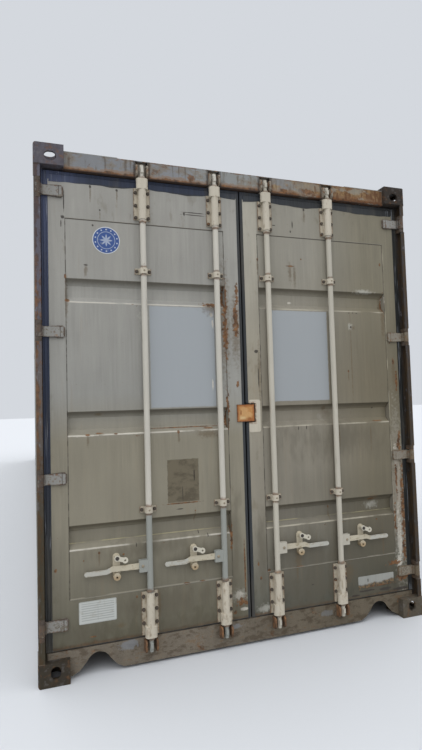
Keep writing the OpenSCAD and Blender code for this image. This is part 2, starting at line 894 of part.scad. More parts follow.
module left_door_seal() { color("#33383d") leaf_seal(); }
module right_door_seal() {
    color("#30353a") mirror([1, 0, 0]) difference() {
        leaf_seal();
        guard_plate_room();
    }
}

module seal_guard_plate() {
    color("#b08a5c") translate([guard_x[0], -half_l + door_t - guard_plate, guard_z0])
        cube([guard_x[1] - guard_x[0], guard_plate, guard_h]);
}

// Sleeve on a bolted plate, bored for a lock bar, flared at its foot or head
module bracket(z0, z1, plate_z0, plate_z1, flare_z) {
    web_half = sleeve_r - 4;
    difference() {
        union() {
            translate([0, bar_t, z0]) cylinder(r = sleeve_r, h = z1 - z0);
            if (flare_z > 0)
                translate([0, bar_t, flare_z]) linear_extrude(flare_h)
                    slot_2d(flare_w, 2 * sleeve_r);
            translate([-web_half, bar_t, plate_z0])
                cube([2 * web_half, door_t - bar_t, plate_z1 - plate_z0]);
            translate([-bracket_w / 2, door_t - bracket_plate, plate_z0])
                cube([bracket_w, bracket_plate, plate_z1 - plate_z0]);
        }
        translate([0, bar_t, z0 - eps]) cylinder(r = bar_r + run_fit, h = z1 - z0 + 2 * eps);
    }
}

module bar_brackets(right) {
    plate_edge = 4;
    color("#a09c90") for (x = right ? [bar_in_x, bar_out_x] : [-bar_out_x, -bar_in_x])
        translate([x, -half_l, 0]) {
            bracket(sleeve_low_z, sleeve_top_z, sleeve_low_z, door_z1 - plate_edge,
                    sleeve_top_z - flare_h);
            bracket(foot_low_z, foot_top_z, door_z0 + plate_edge, foot_top_z, foot_low_z);
            for (z = [guide_low_z, guide_high_z])
                bracket(z - guide_h / 2, z + guide_h / 2, z - guide_h / 2, z + guide_h / 2, 0);
        }
}

// Lock bar with cams, collars and the clevis of its handle
module cam() {
    cylinder(r = cam_stem_r, h = keeper_h);
    translate([0, 0, cam_lift]) intersection() {
        cylinder(r = cam_r, h = cam_h);
        translate([-cam_w / 2, -cam_r, 0]) cube([cam_w, 2 * cam_r, cam_h]);
    }
}

module hub() {
    jaw = handle_d + 2;
    side_d = jaw + 2 * hub_plate;
    hub_l = hub_x + 20;
    difference() {
        translate([0, -side_d / 2, -hub_h / 2]) cube([hub_l, side_d, hub_h]);
        translate([sleeve_r, -jaw / 2, -hub_h / 2 - eps]) cube([hub_l, jaw, hub_h + 2 * eps]);
        translate([hub_x, side_d, 0]) rotate([90, 0, 0])
            cylinder(r = rivet_r + run_fit, h = 2 * side_d);
    }
}

module lock_bar(index) {
    x = bar_xs[index];
    right = x > 0;
    collar_r = bar_r + 4;
    collar_gap = move_gap + 1;
    bar_z0 = cam_low_z + keeper_h;
    color("#b3afa4") translate([x, -half_l + bar_t, 0]) {
        translate([0, 0, bar_z0]) cylinder(r = bar_r, h = cam_top_z - bar_z0);
        for (z = [cam_low_z, cam_top_z]) translate([0, 0, z]) cam();
        for (z = [sleeve_low_z - collar_gap - collar_h, foot_top_z + collar_gap])
            translate([0, 0, z]) cylinder(r = collar_r, h = collar_h);
        translate([0, 0, hub_z]) mirror([right ? 0 : 1, 0, 0]) hub();
    }
}

// Handle drawn from its pin, with a crank beyond the catch
module handle_2d(reach) {
    crank_x = reach - hub_x + 26;
    tip_x = handle_l - grip_h / 2;
    top = handle_h / 2;
    polygon([[0, -top], [crank_x, crank_rise - top],
             [crank_x + crank_l, grip_drop - grip_h / 2], [tip_x, grip_drop - grip_h / 2],
             [tip_x, grip_drop + grip_h / 2], [crank_x + crank_l, grip_drop + grip_h / 2],
             [crank_x, top], [0, top]]);
    circle(top);
    translate([tip_x, grip_drop]) circle(grip_h / 2);
}

module handle(index) {
    x = bar_xs[index];
    right = x > 0;
    head = hub_plate + 3;
    color("#b9b49c") translate([x, -half_l + bar_t, hub_z]) mirror([right ? 0 : 1, 0, 0])
        translate([hub_x, handle_d / 2, 0]) {
            rotate([90, 0, 0]) linear_extrude(handle_d) handle_2d(catch_x[right ? 1 : 0]);
            translate([0, head, 0]) rotate([90, 0, 0]) cylinder(r = rivet_r, h = handle_d + 2 * head);
        }
}

function catch_place(x) = x > 0 ? x + catch_x[1] : x - catch_x[0];

// Plate behind a handle with an upper rivet post and a lower seal ear
module handle_retainer(x) {
    translate([x, -half_l, 0]) {
        difference() {
            union() {
                translate([0, door_t, 0]) rotate([90, 0, 0]) linear_extrude(bracket_plate) {
                    translate([0, catch_z]) circle(retainer_w / 2);
                    translate([-retainer_w / 2, ear_z]) square([retainer_w, catch_z - ear_z]);
                    translate([0, ear_z]) circle(ear_r);
                }
                translate([0, door_t, ear_z]) rotate([90, 0, 0])
                    cylinder(r = ear_r, h = door_t - bar_t + handle_d / 2);
            }
            translate([0, door_t + eps, ear_z - ear_hole_drop]) rotate([90, 0, 0])
                cylinder(r = ear_hole_r, h = door_t);
        }
        translate([0, door_t, catch_z]) rotate([90, 0, 0])
            cylinder(r = catch_post_r, h = door_t - catch_t - catch_plate - 1);
        translate([0, door_t, catch_z]) rotate([90, 0, 0])
            cylinder(r = catch_pin_r, h = door_t - catch_t + 2);
    }
}

module handle_retainers(right) {
    color("#a59f8b") for (i = right ? [2, 3] : [0, 1]) handle_retainer(catch_place(bar_xs[i]));
}

// Catch link, turned aside from hanging
module catch_link(index) {
    neck = catch_r * 1.5;
    color("#c4c0b0") translate([catch_place(bar_xs[index]), -half_l + catch_t + catch_plate, catch_z])
        rotate([90, 0, 0]) linear_extrude(catch_plate) rotate(catch_turn) difference() {
            union() {
                circle(catch_r);
                translate([0, -catch_l]) circle(catch_r);
                translate([-neck / 2, -catch_l]) square([neck, catch_l]);
            }
            circle(catch_pin_r + run_fit);
            translate([0, -catch_l]) circle(catch_hole_r);
        }
}

module left_door_hinges() { door_hinges(false); }
module right_door_hinges() { door_hinges(true); }
module left_bar_brackets() { bar_brackets(false); }
module right_bar_brackets() { bar_brackets(true); }
module left_handle_retainers() { handle_retainers(false); }
module right_handle_retainers() { handle_retainers(true); }

top_corner_castings();
bottom_corner_castings();
rear_corner_posts();
front_corner_posts();
door_header();
door_sill();
bar_keepers();
hinge_lugs();
top_side_rails();
bottom_side_rails();
front_end_rails();
cross_members();
gooseneck_tunnel();
plywood_floor();
left_side_wall();
right_side_wall();
front_wall();
roof();
roof_corner_plates();
ventilators();
left_door_frame();
left_door_panel();
left_door_seal();
left_door_hinges();
left_bar_brackets();
left_handle_retainers();
seal_guard_plate();
right_door_frame();
right_door_panel();
right_door_seal();
right_door_hinges();
right_bar_brackets();
right_handle_retainers();
lock_bar(0);  // lock_bar_1
lock_bar(1);  // lock_bar_2
lock_bar(2);  // lock_bar_3
lock_bar(3);  // lock_bar_4
handle(0);  // handle_1
handle(1);  // handle_2
handle(2);  // handle_3
handle(3);  // handle_4
catch_link(0);  // catch_1
catch_link(1);  // catch_2
catch_link(2);  // catch_3
catch_link(3);  // catch_4
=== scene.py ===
"""Shipping container: finishes, fastenings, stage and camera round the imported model.

Each operator makes one piece or group of like pieces. Lengths are metres, in the model's own frame: x runs
across the doors, y along the container with the doors at the low end, and z up from the ground. Colours are
screen values from 0 to 255.
"""
import contextlib
import functools
import math

import bmesh
import bpy
from mathutils import Color, Matrix, Vector


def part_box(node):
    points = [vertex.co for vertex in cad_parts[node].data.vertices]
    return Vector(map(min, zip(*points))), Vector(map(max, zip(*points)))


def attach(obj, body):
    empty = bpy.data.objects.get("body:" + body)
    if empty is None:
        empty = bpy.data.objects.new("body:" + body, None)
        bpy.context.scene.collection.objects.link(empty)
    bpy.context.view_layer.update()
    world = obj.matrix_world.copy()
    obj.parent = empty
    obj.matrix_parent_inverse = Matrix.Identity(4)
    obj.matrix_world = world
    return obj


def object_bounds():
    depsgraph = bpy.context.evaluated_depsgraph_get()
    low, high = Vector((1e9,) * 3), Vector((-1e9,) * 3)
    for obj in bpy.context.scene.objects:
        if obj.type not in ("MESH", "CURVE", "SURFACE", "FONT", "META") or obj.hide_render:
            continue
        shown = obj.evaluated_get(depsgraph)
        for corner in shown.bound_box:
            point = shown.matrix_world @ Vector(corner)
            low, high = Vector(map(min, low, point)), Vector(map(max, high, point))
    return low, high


bl_info = {
    "name": "Shipping container",
    "version": (1, 0, 0),
    "blender": (4, 5, 0),
    "location": "View3D > Sidebar > Container",
    "description": "Weathered finishes, fastenings, stage and camera for a forty foot container",
    "category": "Object",
}

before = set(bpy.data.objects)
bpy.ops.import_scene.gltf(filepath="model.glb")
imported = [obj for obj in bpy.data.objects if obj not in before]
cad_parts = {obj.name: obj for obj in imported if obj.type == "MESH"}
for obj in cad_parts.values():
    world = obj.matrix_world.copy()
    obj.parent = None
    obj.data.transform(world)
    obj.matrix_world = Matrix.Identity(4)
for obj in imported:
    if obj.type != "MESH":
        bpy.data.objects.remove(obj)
CAD_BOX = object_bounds()

END_Y = CAD_BOX[0][1]
HALF_X = 1.219
DOOR_T = 0.05
BAR_X = (-0.618, -0.171, 0.171, 0.618)
GROOVE_Z = (0.736, 1.353, 2.096)
GROOVE_HALF = 0.066
HINGE_Z = (0.29, 1.062, 1.862, 2.649)
PANEL_X = (0.114, 1.053)
PANEL_Z = (0.41, 2.504)
GUIDE_Z = (0.857, 2.22)
GUARD_Z = 1.3805
# Each leaf with the sign of its x and the numbers of its bars
SIDES = (("left", -1, (0, 1)), ("right", 1, (2, 3)))
# Turn that makes a piece drawn on the ground face the door end
FACING = (math.pi / 2, 0, 0)

# Marks on the leaves, as (x, z, half width, half height) in millimetres on the door face
RUST_MARKS = (
    (-1055, 2174, 6, 14), (-1046, 2040, 12, 10), (-945, 1290, 12, 5), (-792, 1290, 10, 4),
    (-426, 1284, 8, 10), (-392, 1310, 200, 3), (-405, 872, 98, 4), (-895, 643, 6, 7), (-760, 620, 6, 6),
    (-1125, 576, 8, 10), (-336, 822, 5, 5), (-978, 610, 4, 4), (-690, 377, 6, 7), (-400, 412, 22, 6),
    (-303, 412, 16, 6), (-935, 201, 20, 3), (-104, 200, 12, 10), (-882, 1296, 22, 4), (-240, 1300, 30, 4),
    (-150, 1306, 12, 6), (422, 2362, 5, 5), (1031, 2362, 6, 10), (747, 1632, 6, 8), (340, 2312, 26, 5),
    (112, 2342, 6, 10), (1104, 1695, 8, 22), (1081, 1830, 6, 12), (123, 416, 10, 10), (56, 463, 6, 10),
    (70, 377, 8, 10), (572, 756, 5, 8), (916, 649, 6, 6), (900, 222, 120, 6), (-34, 440, 5, 160),
    (890, 782, 18, 8), (330, 412, 30, 4), (960, 1298, 40, 3),
)
FLAKES = (
    (-119, 2060, 16, 100), (-117, 1860, 13, 150), (-114, 1430, 8, 80), (-200, 2042, 50, 12),
    (-47, 1950, 15, 100), (-36, 2110, 10, 60), (-44, 1561, 8, 16), (-117, 1330, 10, 40), (-116, 660, 7, 70),
    (1120, 1140, 12, 60), (1132, 700, 14, 240), (1066, 620, 9, 100), (1088, 900, 7, 110), (1100, 250, 40, 20),
    (1128, 420, 12, 70), (1046, 2085, 6, 50), (1124, 1560, 8, 60), (-58, 256, 32, 22), (1060, 350, 50, 14),
)
STAINS = (
    (-912, 2655, 4, 34), (-761, 2655, 4, 30), (-859, 2540, 3, 20), (-943, 2215, 8, 30), (-426, 1250, 6, 26),
    (-883, 1402, 20, 7), (-782, 237, 20, 12), (-120, 1940, 30, 280), (-47, 1900, 26, 180),
    (-205, 2015, 50, 30), (-336, 790, 4, 35), (-1050, 2060, 8, 100), (-945, 1255, 6, 26), (-895, 610, 4, 30),
    (-240, 1266, 60, 20), (456, 2655, 5, 40), (340, 2270, 10, 50), (372, 2250, 8, 60), (775, 1700, 3, 260),
    (747, 1600, 4, 30), (102, 1628, 8, 150), (790, 1921, 18, 12), (569, 1353, 34, 30), (560, 1390, 14, 18),
    (900, 790, 34, 18), (330, 450, 20, 40), (318, 400, 6, 50), (-560, 330, 6, 60), (960, 500, 6, 80),
    (900, 1190, 4, 70), (660, 1210, 4, 60), (1035, 2000, 14, 120), (1104, 1620, 12, 80), (112, 2290, 6, 40),
    (1100, 900, 40, 300), (572, 710, 4, 36), (660, 330, 60, 60),
)
DARK_MARKS = (
    (-1066, 2508, 10, 9), (-1074, 2470, 3, 18), (-1058, 2600, 3, 60), (-912, 2697, 7, 8), (-761, 2690, 7, 8),
    (-859, 2565, 5, 5), (-901, 2473, 5, 6), (-943, 2243, 12, 4), (-429, 839, 20, 3), (-688, 663, 3, 12),
    (-262, 673, 3, 12), (-315, 694, 3, 10), (-298, 2600, 66, 3), (-298, 2586, 66, 3), (-360, 2590, 6, 12),
    (-410, 930, 2, 40), (-338, 1030, 4, 30), (361, 1274, 3, 12), (418, 1274, 3, 12), (353, 2539, 4, 8),
    (368, 2585, 4, 24), (234, 2570, 12, 3), (456, 2691, 7, 8), (943, 1385, 5, 5), (778, 1926, 6, 7),
    (768, 2021, 6, 3), (797, 2022, 6, 3), (826, 2020, 6, 3), (85, 1760, 12, 10), (95, 1600, 3, 60),
    (422, 290, 10, 3), (820, 196, 60, 6), (960, 190, 40, 10), (1080, 176, 60, 10), (730, 176, 30, 6),
    (1000, 240, 20, 10),
)
GRIME_MARKS = (
    (420, 470, 260, 110), (300, 300, 120, 100), (520, 260, 200, 70), (930, 560, 100, 160),
    (880, 190, 200, 30), (1100, 230, 50, 60), (-520, 330, 240, 70), (-980, 230, 120, 40),
    (-300, 560, 120, 60), (-90, 560, 30, 300), (80, 520, 30, 200), (620, 1180, 300, 80), (-640, 640, 200, 40),
    (420, 330, 180, 160), (-400, 190, 200, 30), (700, 172, 300, 18), (400, 180, 160, 26),
)
# The two marks at z 1286 and 1288 on the left leaf widen the pale line along the lower bend of the middle
# groove: worn paint with a painted highlight.
PALE_MARKS = (
    (-204, 1981, 10, 14), (-197, 1924, 7, 22), (-206, 1560, 5, 30), (344, 2079, 14, 7), (-76, 296, 26, 22),
    (-44, 214, 22, 10), (-700, 1288, 100, 4), (-960, 1286, 80, 4), (1094, 520, 16, 140), (1090, 1060, 18, 70),
    (1050, 2110, 5, 30), (1102, 820, 14, 110), (1084, 340, 16, 50), (1110, 940, 10, 60), (1090, 690, 10, 80),
)
FADED_MARKS = (
    (-70, 296, 34, 32), (774, 1927, 15, 19), (889, 2168, 60, 12), (1102, 740, 40, 460), (905, 742, 40, 20),
    (92, 196, 40, 20), (-620, 1960, 20, 60), (560, 1345, 30, 24),
)

# Kinds of mark: places, colour, share, raggedness, softness, grain size and seed of the ragged edge
MARKS = (
    (FADED_MARKS, (192, 192, 184), 0.62, 1.1, 0.7, 0.016, 15),
    (PALE_MARKS, "chalk", 0.8, 0.7, 0.25, 0.016, 12),
    (GRIME_MARKS, (92, 86, 72), 0.55, 1.6, 0.9, 0.06, 15),
    (STAINS, (100, 84, 60), 0.58, 1, 0.7, 0.016, 15),
    (RUST_MARKS, 30, 0.9, 0.7, 0.3, 0.016, 12),
    (FLAKES, 33, 0.95, 1.9, 0.2, 0.016, 18),
    (DARK_MARKS, (54, 47, 42), 0.9, 0.5, 0.3, 0.016, 12),
)


def tone(red, green, blue):
    """Linear colour from screen values of 0 to 255."""
    shares = [value / 255 for value in (red, green, blue)]
    return tuple(v / 12.92 if v <= 0.04045 else ((v + 0.055) / 1.055) ** 2.4 for v in shares)


def swatch(name, about, *screen):
    """A colour that the sidebar shows, given by its screen values."""
    return bpy.props.FloatVectorProperty(
        name=name, description=about, default=tone(*screen), min=0, max=1, size=3, subtype="COLOR")


def length(name, about, default, low, high):
    """A length in metres that the sidebar shows."""
    return bpy.props.FloatProperty(
        name=name, description=about, default=default, min=low, max=high, precision=4, subtype="DISTANCE",
        unit="LENGTH")


def strength(name, about, default, high):
    """Strength of a light that the sidebar shows."""
    return bpy.props.FloatProperty(name=name, description=about, default=default, min=0, max=high)


class ContainerColours(bpy.types.PropertyGroup):
    """Colours of paint, rust, rubber and bare steel."""

    left_head: swatch("Left leaf, head", "Grey paint at the head of the left leaf", 160, 159, 154)
    left_waist: swatch("Left leaf, middle", "Grey paint half way up the left leaf", 152, 152, 148)
    left_knee: swatch("Left leaf, low", "Yellowed paint low on the left leaf", 141, 136, 121)
    left_foot: swatch("Left leaf, foot", "Dirty paint at the foot of the left leaf", 98, 95, 80)
    # The right leaf's colours are a little darker and browner than the left's: yellowed paint, and partly
    # painted shade.
    right_head: swatch("Right leaf, head", "Grey paint at the head of the right leaf", 152, 149, 139)
    right_waist: swatch("Right leaf, middle", "Yellowed paint half way up the right leaf", 136, 130, 116)
    right_knee: swatch("Right leaf, low", "Yellowed paint low on the right leaf", 140, 135, 123)
    right_foot: swatch("Right leaf, foot", "Dirty paint at the foot of the right leaf", 87, 88, 79)
    repaint: swatch("Repaint", "Blue-grey paint of the newer patches", 165, 172, 179)
    shell_paint: swatch("Shell paint", "Grey paint of the walls and rails", 134, 136, 133)
    header_paint: swatch("Header paint", "Blue-grey paint over the doors", 132, 135, 140)
    post_paint: swatch("Post paint", "Dull paint of the corner posts", 92, 90, 102)
    rust: swatch("Rust", "Brown rust", 112, 78, 50)
    old_rust: swatch("Old rust", "Dark brown rust", 58, 44, 34)
    stain: swatch("Stain", "Thin brown film that runs from rust", 128, 108, 80)
    chalk: swatch("Chalk", "Pale worn primer", 212, 208, 198)
    rubber: swatch("Rubber", "Door seal", 41, 44, 47)
    # Painted sheen: this blue is laid on the outer face of the seal at the top and the left.
    navy: swatch("Seal glaze", "Blue sheen of the seal at the top and left", 32, 44, 70)
    bar: swatch("Lock bar", "Pale paint of the bars", 205, 202, 193)
    low_bar: swatch("Lower bar", "Grey paint on the feet of two bars", 150, 154, 150)
    cream: swatch("Handle", "Yellowed paint of the handles", 198, 191, 172)
    bracket: swatch("Bracket", "Warm white of the brackets and sleeves", 202, 195, 180)
    plywood: swatch("Plywood", "Worn floor boards", 126, 92, 62)


class ContainerSizes(bpy.types.PropertyGroup):
    """Sizes of the small pieces."""

    bolt_across: length("Bolt head", "Width of a bolt head across its flats", 0.017, 0.012, 0.022)
    bolt_height: length("Bolt height", "Height of a bolt head over its washer", 0.007, 0.004, 0.01)
    weld_radius: length("Weld bead", "Half the width of a weld bead", 0.003, 0.002, 0.006)
    disc_radius: length("Disc", "Radius of the round sticker", 0.078, 0.06, 0.09)
    sheet_thickness: length("Sticker", "Thickness of a sticker with its film", 0.0008, 0.0004, 0.002)


class ContainerStage(bpy.types.PropertyGroup):
    """Floor, light and view."""

    floor_half: length("Floor", "Half the side of the floor", 60, 20, 100)
    pale: swatch("Background", "Colour of the floor and the backdrop", 212, 216, 222)
    sky: strength("Sky", "Strength of the light from the sides", 0.95, 2)
    zenith: strength("Zenith", "Extra strength from overhead", 0.8, 2)
    sun: strength("Sun", "Strength of the soft sun", 0.5, 4)
    focal: bpy.props.FloatProperty(
        name="Lens", description="Focal length on a 36 mm frame", default=24.768, min=10, max=100,
        subtype="DISTANCE_CAMERA")


def sizes():
    """Sizes of the small pieces, as the sidebar has them."""
    return bpy.context.scene.container_sizes


def paint(colour):
    """Linear colour of a sidebar colour, of its name or of screen values."""
    if isinstance(colour, str):
        colour = getattr(bpy.context.scene.container_colours, colour)
    return tuple(colour) if isinstance(colour, Color) else tone(*colour)


class Wire:
    """A shader socket that takes part in sums with numbers and other sockets: each sum adds a Math node."""

    def __init__(self, nodes, socket):
        self.nodes = nodes
        self.socket = socket

    def sum(self, kind, *others):
        return self.nodes.sum(kind, self, *others)

    def __add__(self, other):
        return self.sum("ADD", other)

    def __sub__(self, other):
        return self.sum("SUBTRACT", other)

    def __rsub__(self, other):
        return self.nodes.sum("SUBTRACT", other, self)

    def __mul__(self, other):
        return self.sum("MULTIPLY", other)

    def __truediv__(self, other):
        return self.sum("DIVIDE", other)

    def __rtruediv__(self, other):
        return self.nodes.sum("DIVIDE", other, self)

    def __abs__(self):
        return self.sum("ABSOLUTE")

    __radd__ = __add__
    __rmul__ = __mul__

    def low(self, other):
        return self.sum("MINIMUM", other)

    def high(self, other):
        return self.sum("MAXIMUM", other)

    def step(self, start, end):
        """0 at start and 1 at end, smoothly between, whichever is greater."""
        ends = {0: self, 1: start, 2: end}
        return self.nodes.node("ShaderNodeMapRange", ends, interpolation_type="SMOOTHSTEP")

    def nearest(self, places):
        """Distance to the nearest of some places."""
        return functools.reduce(Wire.low, [abs(self - place) for place in places])

    def twin(self, out):
        """Another output of the same node."""
        return Wire(self.nodes, self.socket.node.outputs[out])


class Nodes:
    """The shader nodes of a material or of the world."""

    def __init__(self, owner):
        owner.use_nodes = True
        self.tree = owner.node_tree
        self.tree.nodes.clear()

    def node(self, kind, inputs=None, out=0, **settings):
        """Adds a node: first its settings or a ramp's stops, then the values or links of its sockets."""
        made = self.tree.nodes.new(kind)
        for name, value in settings.items():
            if name == "stops":
                self.fill_ramp(made.color_ramp, value)
            else:
                setattr(made, name, value)
        for key, value in (inputs or {}).items():
            socket = made.inputs[key]
            if isinstance(value, Wire):
                self.tree.links.new(value.socket, socket)
            elif socket.type == "RGBA":
                socket.default_value = (*paint(value), 1)
            else:
                socket.default_value = value
        return Wire(self, made.outputs[out] if made.outputs else None)

    @staticmethod
    def fill_ramp(ramp, stops):
        """Gives a colour ramp its stops, as places with colours."""
        while len(ramp.elements) < len(stops):
            ramp.elements.new(0.5)
        for element, (place, colour) in zip(ramp.elements, stops):
            element.position = place
            element.color = (*paint(colour), 1)

    def sum(self, kind, *values):
        """Adds a Math node for links or numbers."""
        return self.node("ShaderNodeMath", dict(enumerate(values)), operation=kind)

    def mix(self, share, first, second, kind="MIX"):
        """Colour between two colours, or the first one multiplied by the second."""
        colours = {0: share, 6: first, 7: second}
        return self.node("ShaderNodeMix", colours, 2, data_type="RGBA", blend_type=kind)

    def blend(self, share, first, second):
        """Number between two numbers."""
        return self.node("ShaderNodeMix", {0: share, 2: first, 3: second}, data_type="FLOAT")


class Coat(Nodes):
    """A finish built from layers of colour, roughness and height, one over the other."""

    def __init__(self, name, colour, rough=0.62):
        self.material = bpy.data.materials.new(name)
        super().__init__(self.material)
        self.rough = rough
        self.height = None
        self.place = self.node("ShaderNodeTexCoord", out="Object")
        self.x = self.node("ShaderNodeSeparateXYZ", {0: self.place})
        self.y, self.z = self.x.twin(1), self.x.twin(2)
        self.colour = colour(self) if callable(colour) else colour

    @functools.cached_property
    def flat(self):
        """Place on the door face, without its depth."""
        return self.node("ShaderNodeCombineXYZ", {0: self.x, 1: 0, 2: self.z})

    @functools.cache
    def noise(self, size, detail=3, stretch=1, seed=0, rough=0.55):
        """Cloudy values round 0.5 with patches of about the given size, drawn out upwards or by axis."""
        drawn = stretch if isinstance(stretch, tuple) else (1, 1, stretch)
        shift = (seed, seed * 0.7, seed * 1.3)
        scale = [1 / (size * share) for share in drawn]
        place = self.node("ShaderNodeMapping", {"Vector": self.place, "Location": shift, "Scale": scale})
        return self.node(
            "ShaderNodeTexNoise", {"Vector": place, "Scale": 1, "Detail": detail, "Roughness": rough})

    def wobble(self, size, amount, seed):
        """Small shift for ragged edges, from less than 0 to more."""
        return (self.noise(size, 4, seed=seed) - 0.5) * (2 * amount)

    def rusty(self, seed):
        """Rust colour that changes from orange-brown to dark."""
        cloud = self.noise(0.03, 5, seed=seed + 11, rough=0.65)
        stops = ((0.32, "old_rust"), (0.5, "rust"), (0.72, (152, 108, 68)))
        return self.node("ShaderNodeValToRGB", {0: cloud}, stops=stops)

    def rise(self, stops):
        """Colour by height over the ground."""
        top = 3
        shares = [(z / top, colour) for z, colour in stops]
        return self.node("ShaderNodeValToRGB", {0: self.z / top}, stops=shares)

    def tint(self, share, colour, rough=None, height=None):
        """Lays a colour over the coat where share is 1, with its own roughness and height."""
        self.colour = self.mix(share, self.colour, colour)
        if rough is not None:
            self.rough = self.blend(share, self.rough, rough)
        if height is not None:
            self.lift(share * height)

    def rust(self, share, seed, rough=0.9, height=None):
        """Lays rust over the coat where share is 1."""
        self.tint(share, self.rusty(seed), rough, height)

    def shade(self, share, colour):
        """Darkens the coat through a colour where share is 1."""
        self.colour = self.mix(share, self.colour, colour, "MULTIPLY")

    def vary(self, amount):
        """Makes the coat paler where amount is over 0 and darker where it is under."""
        self.colour = self.node("ShaderNodeHueSaturation", {"Value": amount + 1, "Color": self.colour})

    def lift(self, amount):
        """Adds to the height of the surface."""
        self.height = amount if self.height is None else self.height + amount

    def box(self, x0, x1, z0, z1, soft, ragged=None):
        """1 inside a box on the door face, with soft or ragged edges."""
        across = abs(self.x - (x0 + x1) / 2) - (x1 - x0) / 2
        along = abs(self.z - (z0 + z1) / 2) - (z1 - z0) / 2
        out = across.high(along)
        return (out if ragged is None else out + ragged).step(soft, -soft)

    def band(self, value, centre, half):
        """1 near the centre, a half where value is this far from it, and 0 beyond."""
        return abs(value - centre).step(half * 1.5, half * 0.5)

    def marks(self, places, ragged, seed, soft=0.25, grain=0.016):
        """1 on each mark of a list in millimetres, with ragged or soft edges."""
        gaps = []
        for place in places:
            x, z, half_x, half_z = (value / 1000 for value in place)
            scale, shift = (1 / half_x, 0, 1 / half_z), (-x / half_x, 0, -z / half_z)
            inputs = {0: self.flat, 1: scale, 2: shift}
            share = self.node("ShaderNodeVectorMath", inputs, operation="MULTIPLY_ADD")
            gaps.append(self.node("ShaderNodeVectorMath", {0: share}, 1, operation="LENGTH"))
        rough = (self.noise(grain, 4, 3 if grain > 0.02 else 1, seed + 31) - 0.5) * (2.4 * ragged)
        return (functools.reduce(Wire.low, gaps) + rough).step(1 + soft, 1 - soft)

    @functools.cache
    def finish(self):
        """Joins the layers to the surface, once for all pieces with this coat."""
        inputs = {"Base Color": self.colour, "Roughness": self.rough}
        if self.height is not None:
            bump = {"Strength": 1, "Distance": 1, "Height": self.height}
            inputs["Normal"] = self.node("ShaderNodeBump", bump)
        self.node("ShaderNodeOutputMaterial", {"Surface": self.node("ShaderNodeBsdfPrincipled", inputs)})
        return self.material


def weathered(name, colour, seed, rust, worn, rough=0.62):
    """Old paint: cloudy and streaked where worn, a little dented, with specks and blooms of rust."""
    coat = Coat(name, colour, rough)
    cloud = coat.noise(0.4, 4, seed=seed) - 0.5
    streak = coat.noise(0.03, 3, 16, seed + 3) - 0.5
    fine = coat.noise(0.005, 2, seed=seed + 5) - 0.5
    broad = coat.noise(0.1, 3, 6, seed + 4) - 0.5
    coat.vary((cloud * 0.45 + streak * 0.35 + broad * 0.35) * worn + fine * 0.1)
    coat.tint(streak.step(0.1, 0.24) * (0.2 * worn), "stain")
    bloom = coat.noise(0.09, 6, seed=seed + 8, rough=0.68)
    coat.rust(bloom.step(0.74 - 0.18 * rust, 0.8 - 0.16 * rust) * 0.9, seed, 0.88, 0.0006)
    speck = coat.noise(0.011, 1, seed=seed + 9)
    coat.tint(speck.step(0.8 - 0.05 * rust, 0.84 - 0.05 * rust) * 0.7, "rust", 0.85)
    coat.lift(fine * 0.0003 + coat.noise(0.22, 1, seed=seed + 1) * 0.002)
    return coat


def assign(coat, *names):
    """Gives CAD nodes a finish."""
    for name in names:
        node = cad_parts[name]
        if not node.material_slots:
            raise RuntimeError(f"{name} has no material slot")
        for slot in node.material_slots:
            slot.link = "OBJECT"
            slot.material = coat.finish()


def select(piece=None):
    """Leaves edit mode and selects one piece or none."""
    if bpy.context.object and bpy.context.object.mode != "OBJECT":
        bpy.ops.object.mode_set(mode="OBJECT")
    bpy.ops.object.select_all(action="DESELECT")
    if piece:
        piece.select_set(True)
        bpy.context.view_layer.objects.active = piece


def settle(piece, name):
    """Puts a piece's place into its mesh and names it."""
    select(piece)
    bpy.ops.object.transform_apply(location=True, rotation=True, scale=True)
    piece.name = name
    piece.data.name = name
    return piece


def start(operator, name, scale=(1, 1, 1), place=(0, 0, 0), **settings):
    """Makes a piece with an operator, then gives it a scale and a place."""
    select()
    operator(**settings)
    piece = bpy.context.object
    piece.scale = scale
    piece.location += Vector(place)
    return settle(piece, name)


@contextlib.contextmanager
def editing(piece):
    """Opens edit mode on a piece and leaves it again."""
    select(piece)
    bpy.ops.object.mode_set(mode="EDIT")
    yield
    bpy.ops.object.mode_set(mode="OBJECT")


def pick(piece, kind="FACE", test=lambda part: True):
    """Selects the vertices, edges or faces in edit mode for which test is true."""
    mesh = bmesh.from_edit_mesh(piece.data)
    bpy.context.tool_settings.mesh_select_mode = (kind == "VERT", kind == "EDGE", kind == "FACE")
    mesh.select_mode = {kind}
    for group in (mesh.faces, mesh.edges, mesh.verts):
        for part in group:
            part.select = False
    for part in {"VERT": mesh.verts, "EDGE": mesh.edges, "FACE": mesh.faces}[kind]:
        if test(part):
            part.select_set(True)
    mesh.select_flush_mode()
    bmesh.update_edit_mesh(piece.data)


def inset(thickness, shift):
    """Draws the picked face in and moves it."""
    bpy.ops.mesh.inset(thickness=thickness)
    bpy.ops.transform.translate(value=shift)


def extrude(shift):
    """Draws the picked faces out by a shift."""
    bpy.ops.mesh.extrude_region_move(TRANSFORM_OT_translate={"value": shift})


def turn_out():
    """Turns all faces outwards."""
    bpy.ops.mesh.select_all(action="SELECT")
    bpy.ops.mesh.normals_make_consistent(inside=False)


def join(pieces, name):
    """Makes one piece of several."""
    select()
    for piece in pieces:
        piece.select_set(True)
    bpy.context.view_layer.objects.active = pieces[0]
    bpy.ops.object.join()
    return settle(pieces[0], name)


def repeat(model, places, name):
    """Copies a finished model to places, each copy with its own mesh, and joins them."""
    copies = []
    for place in places:
        copy = model.copy()
        copy.data = model.data.copy()
        copy.data.transform(place if isinstance(place, Matrix) else Matrix.Translation(place))
        bpy.context.scene.collection.objects.link(copy)
        copies.append(copy)
    bpy.data.objects.remove(model)
    return join(copies, name)


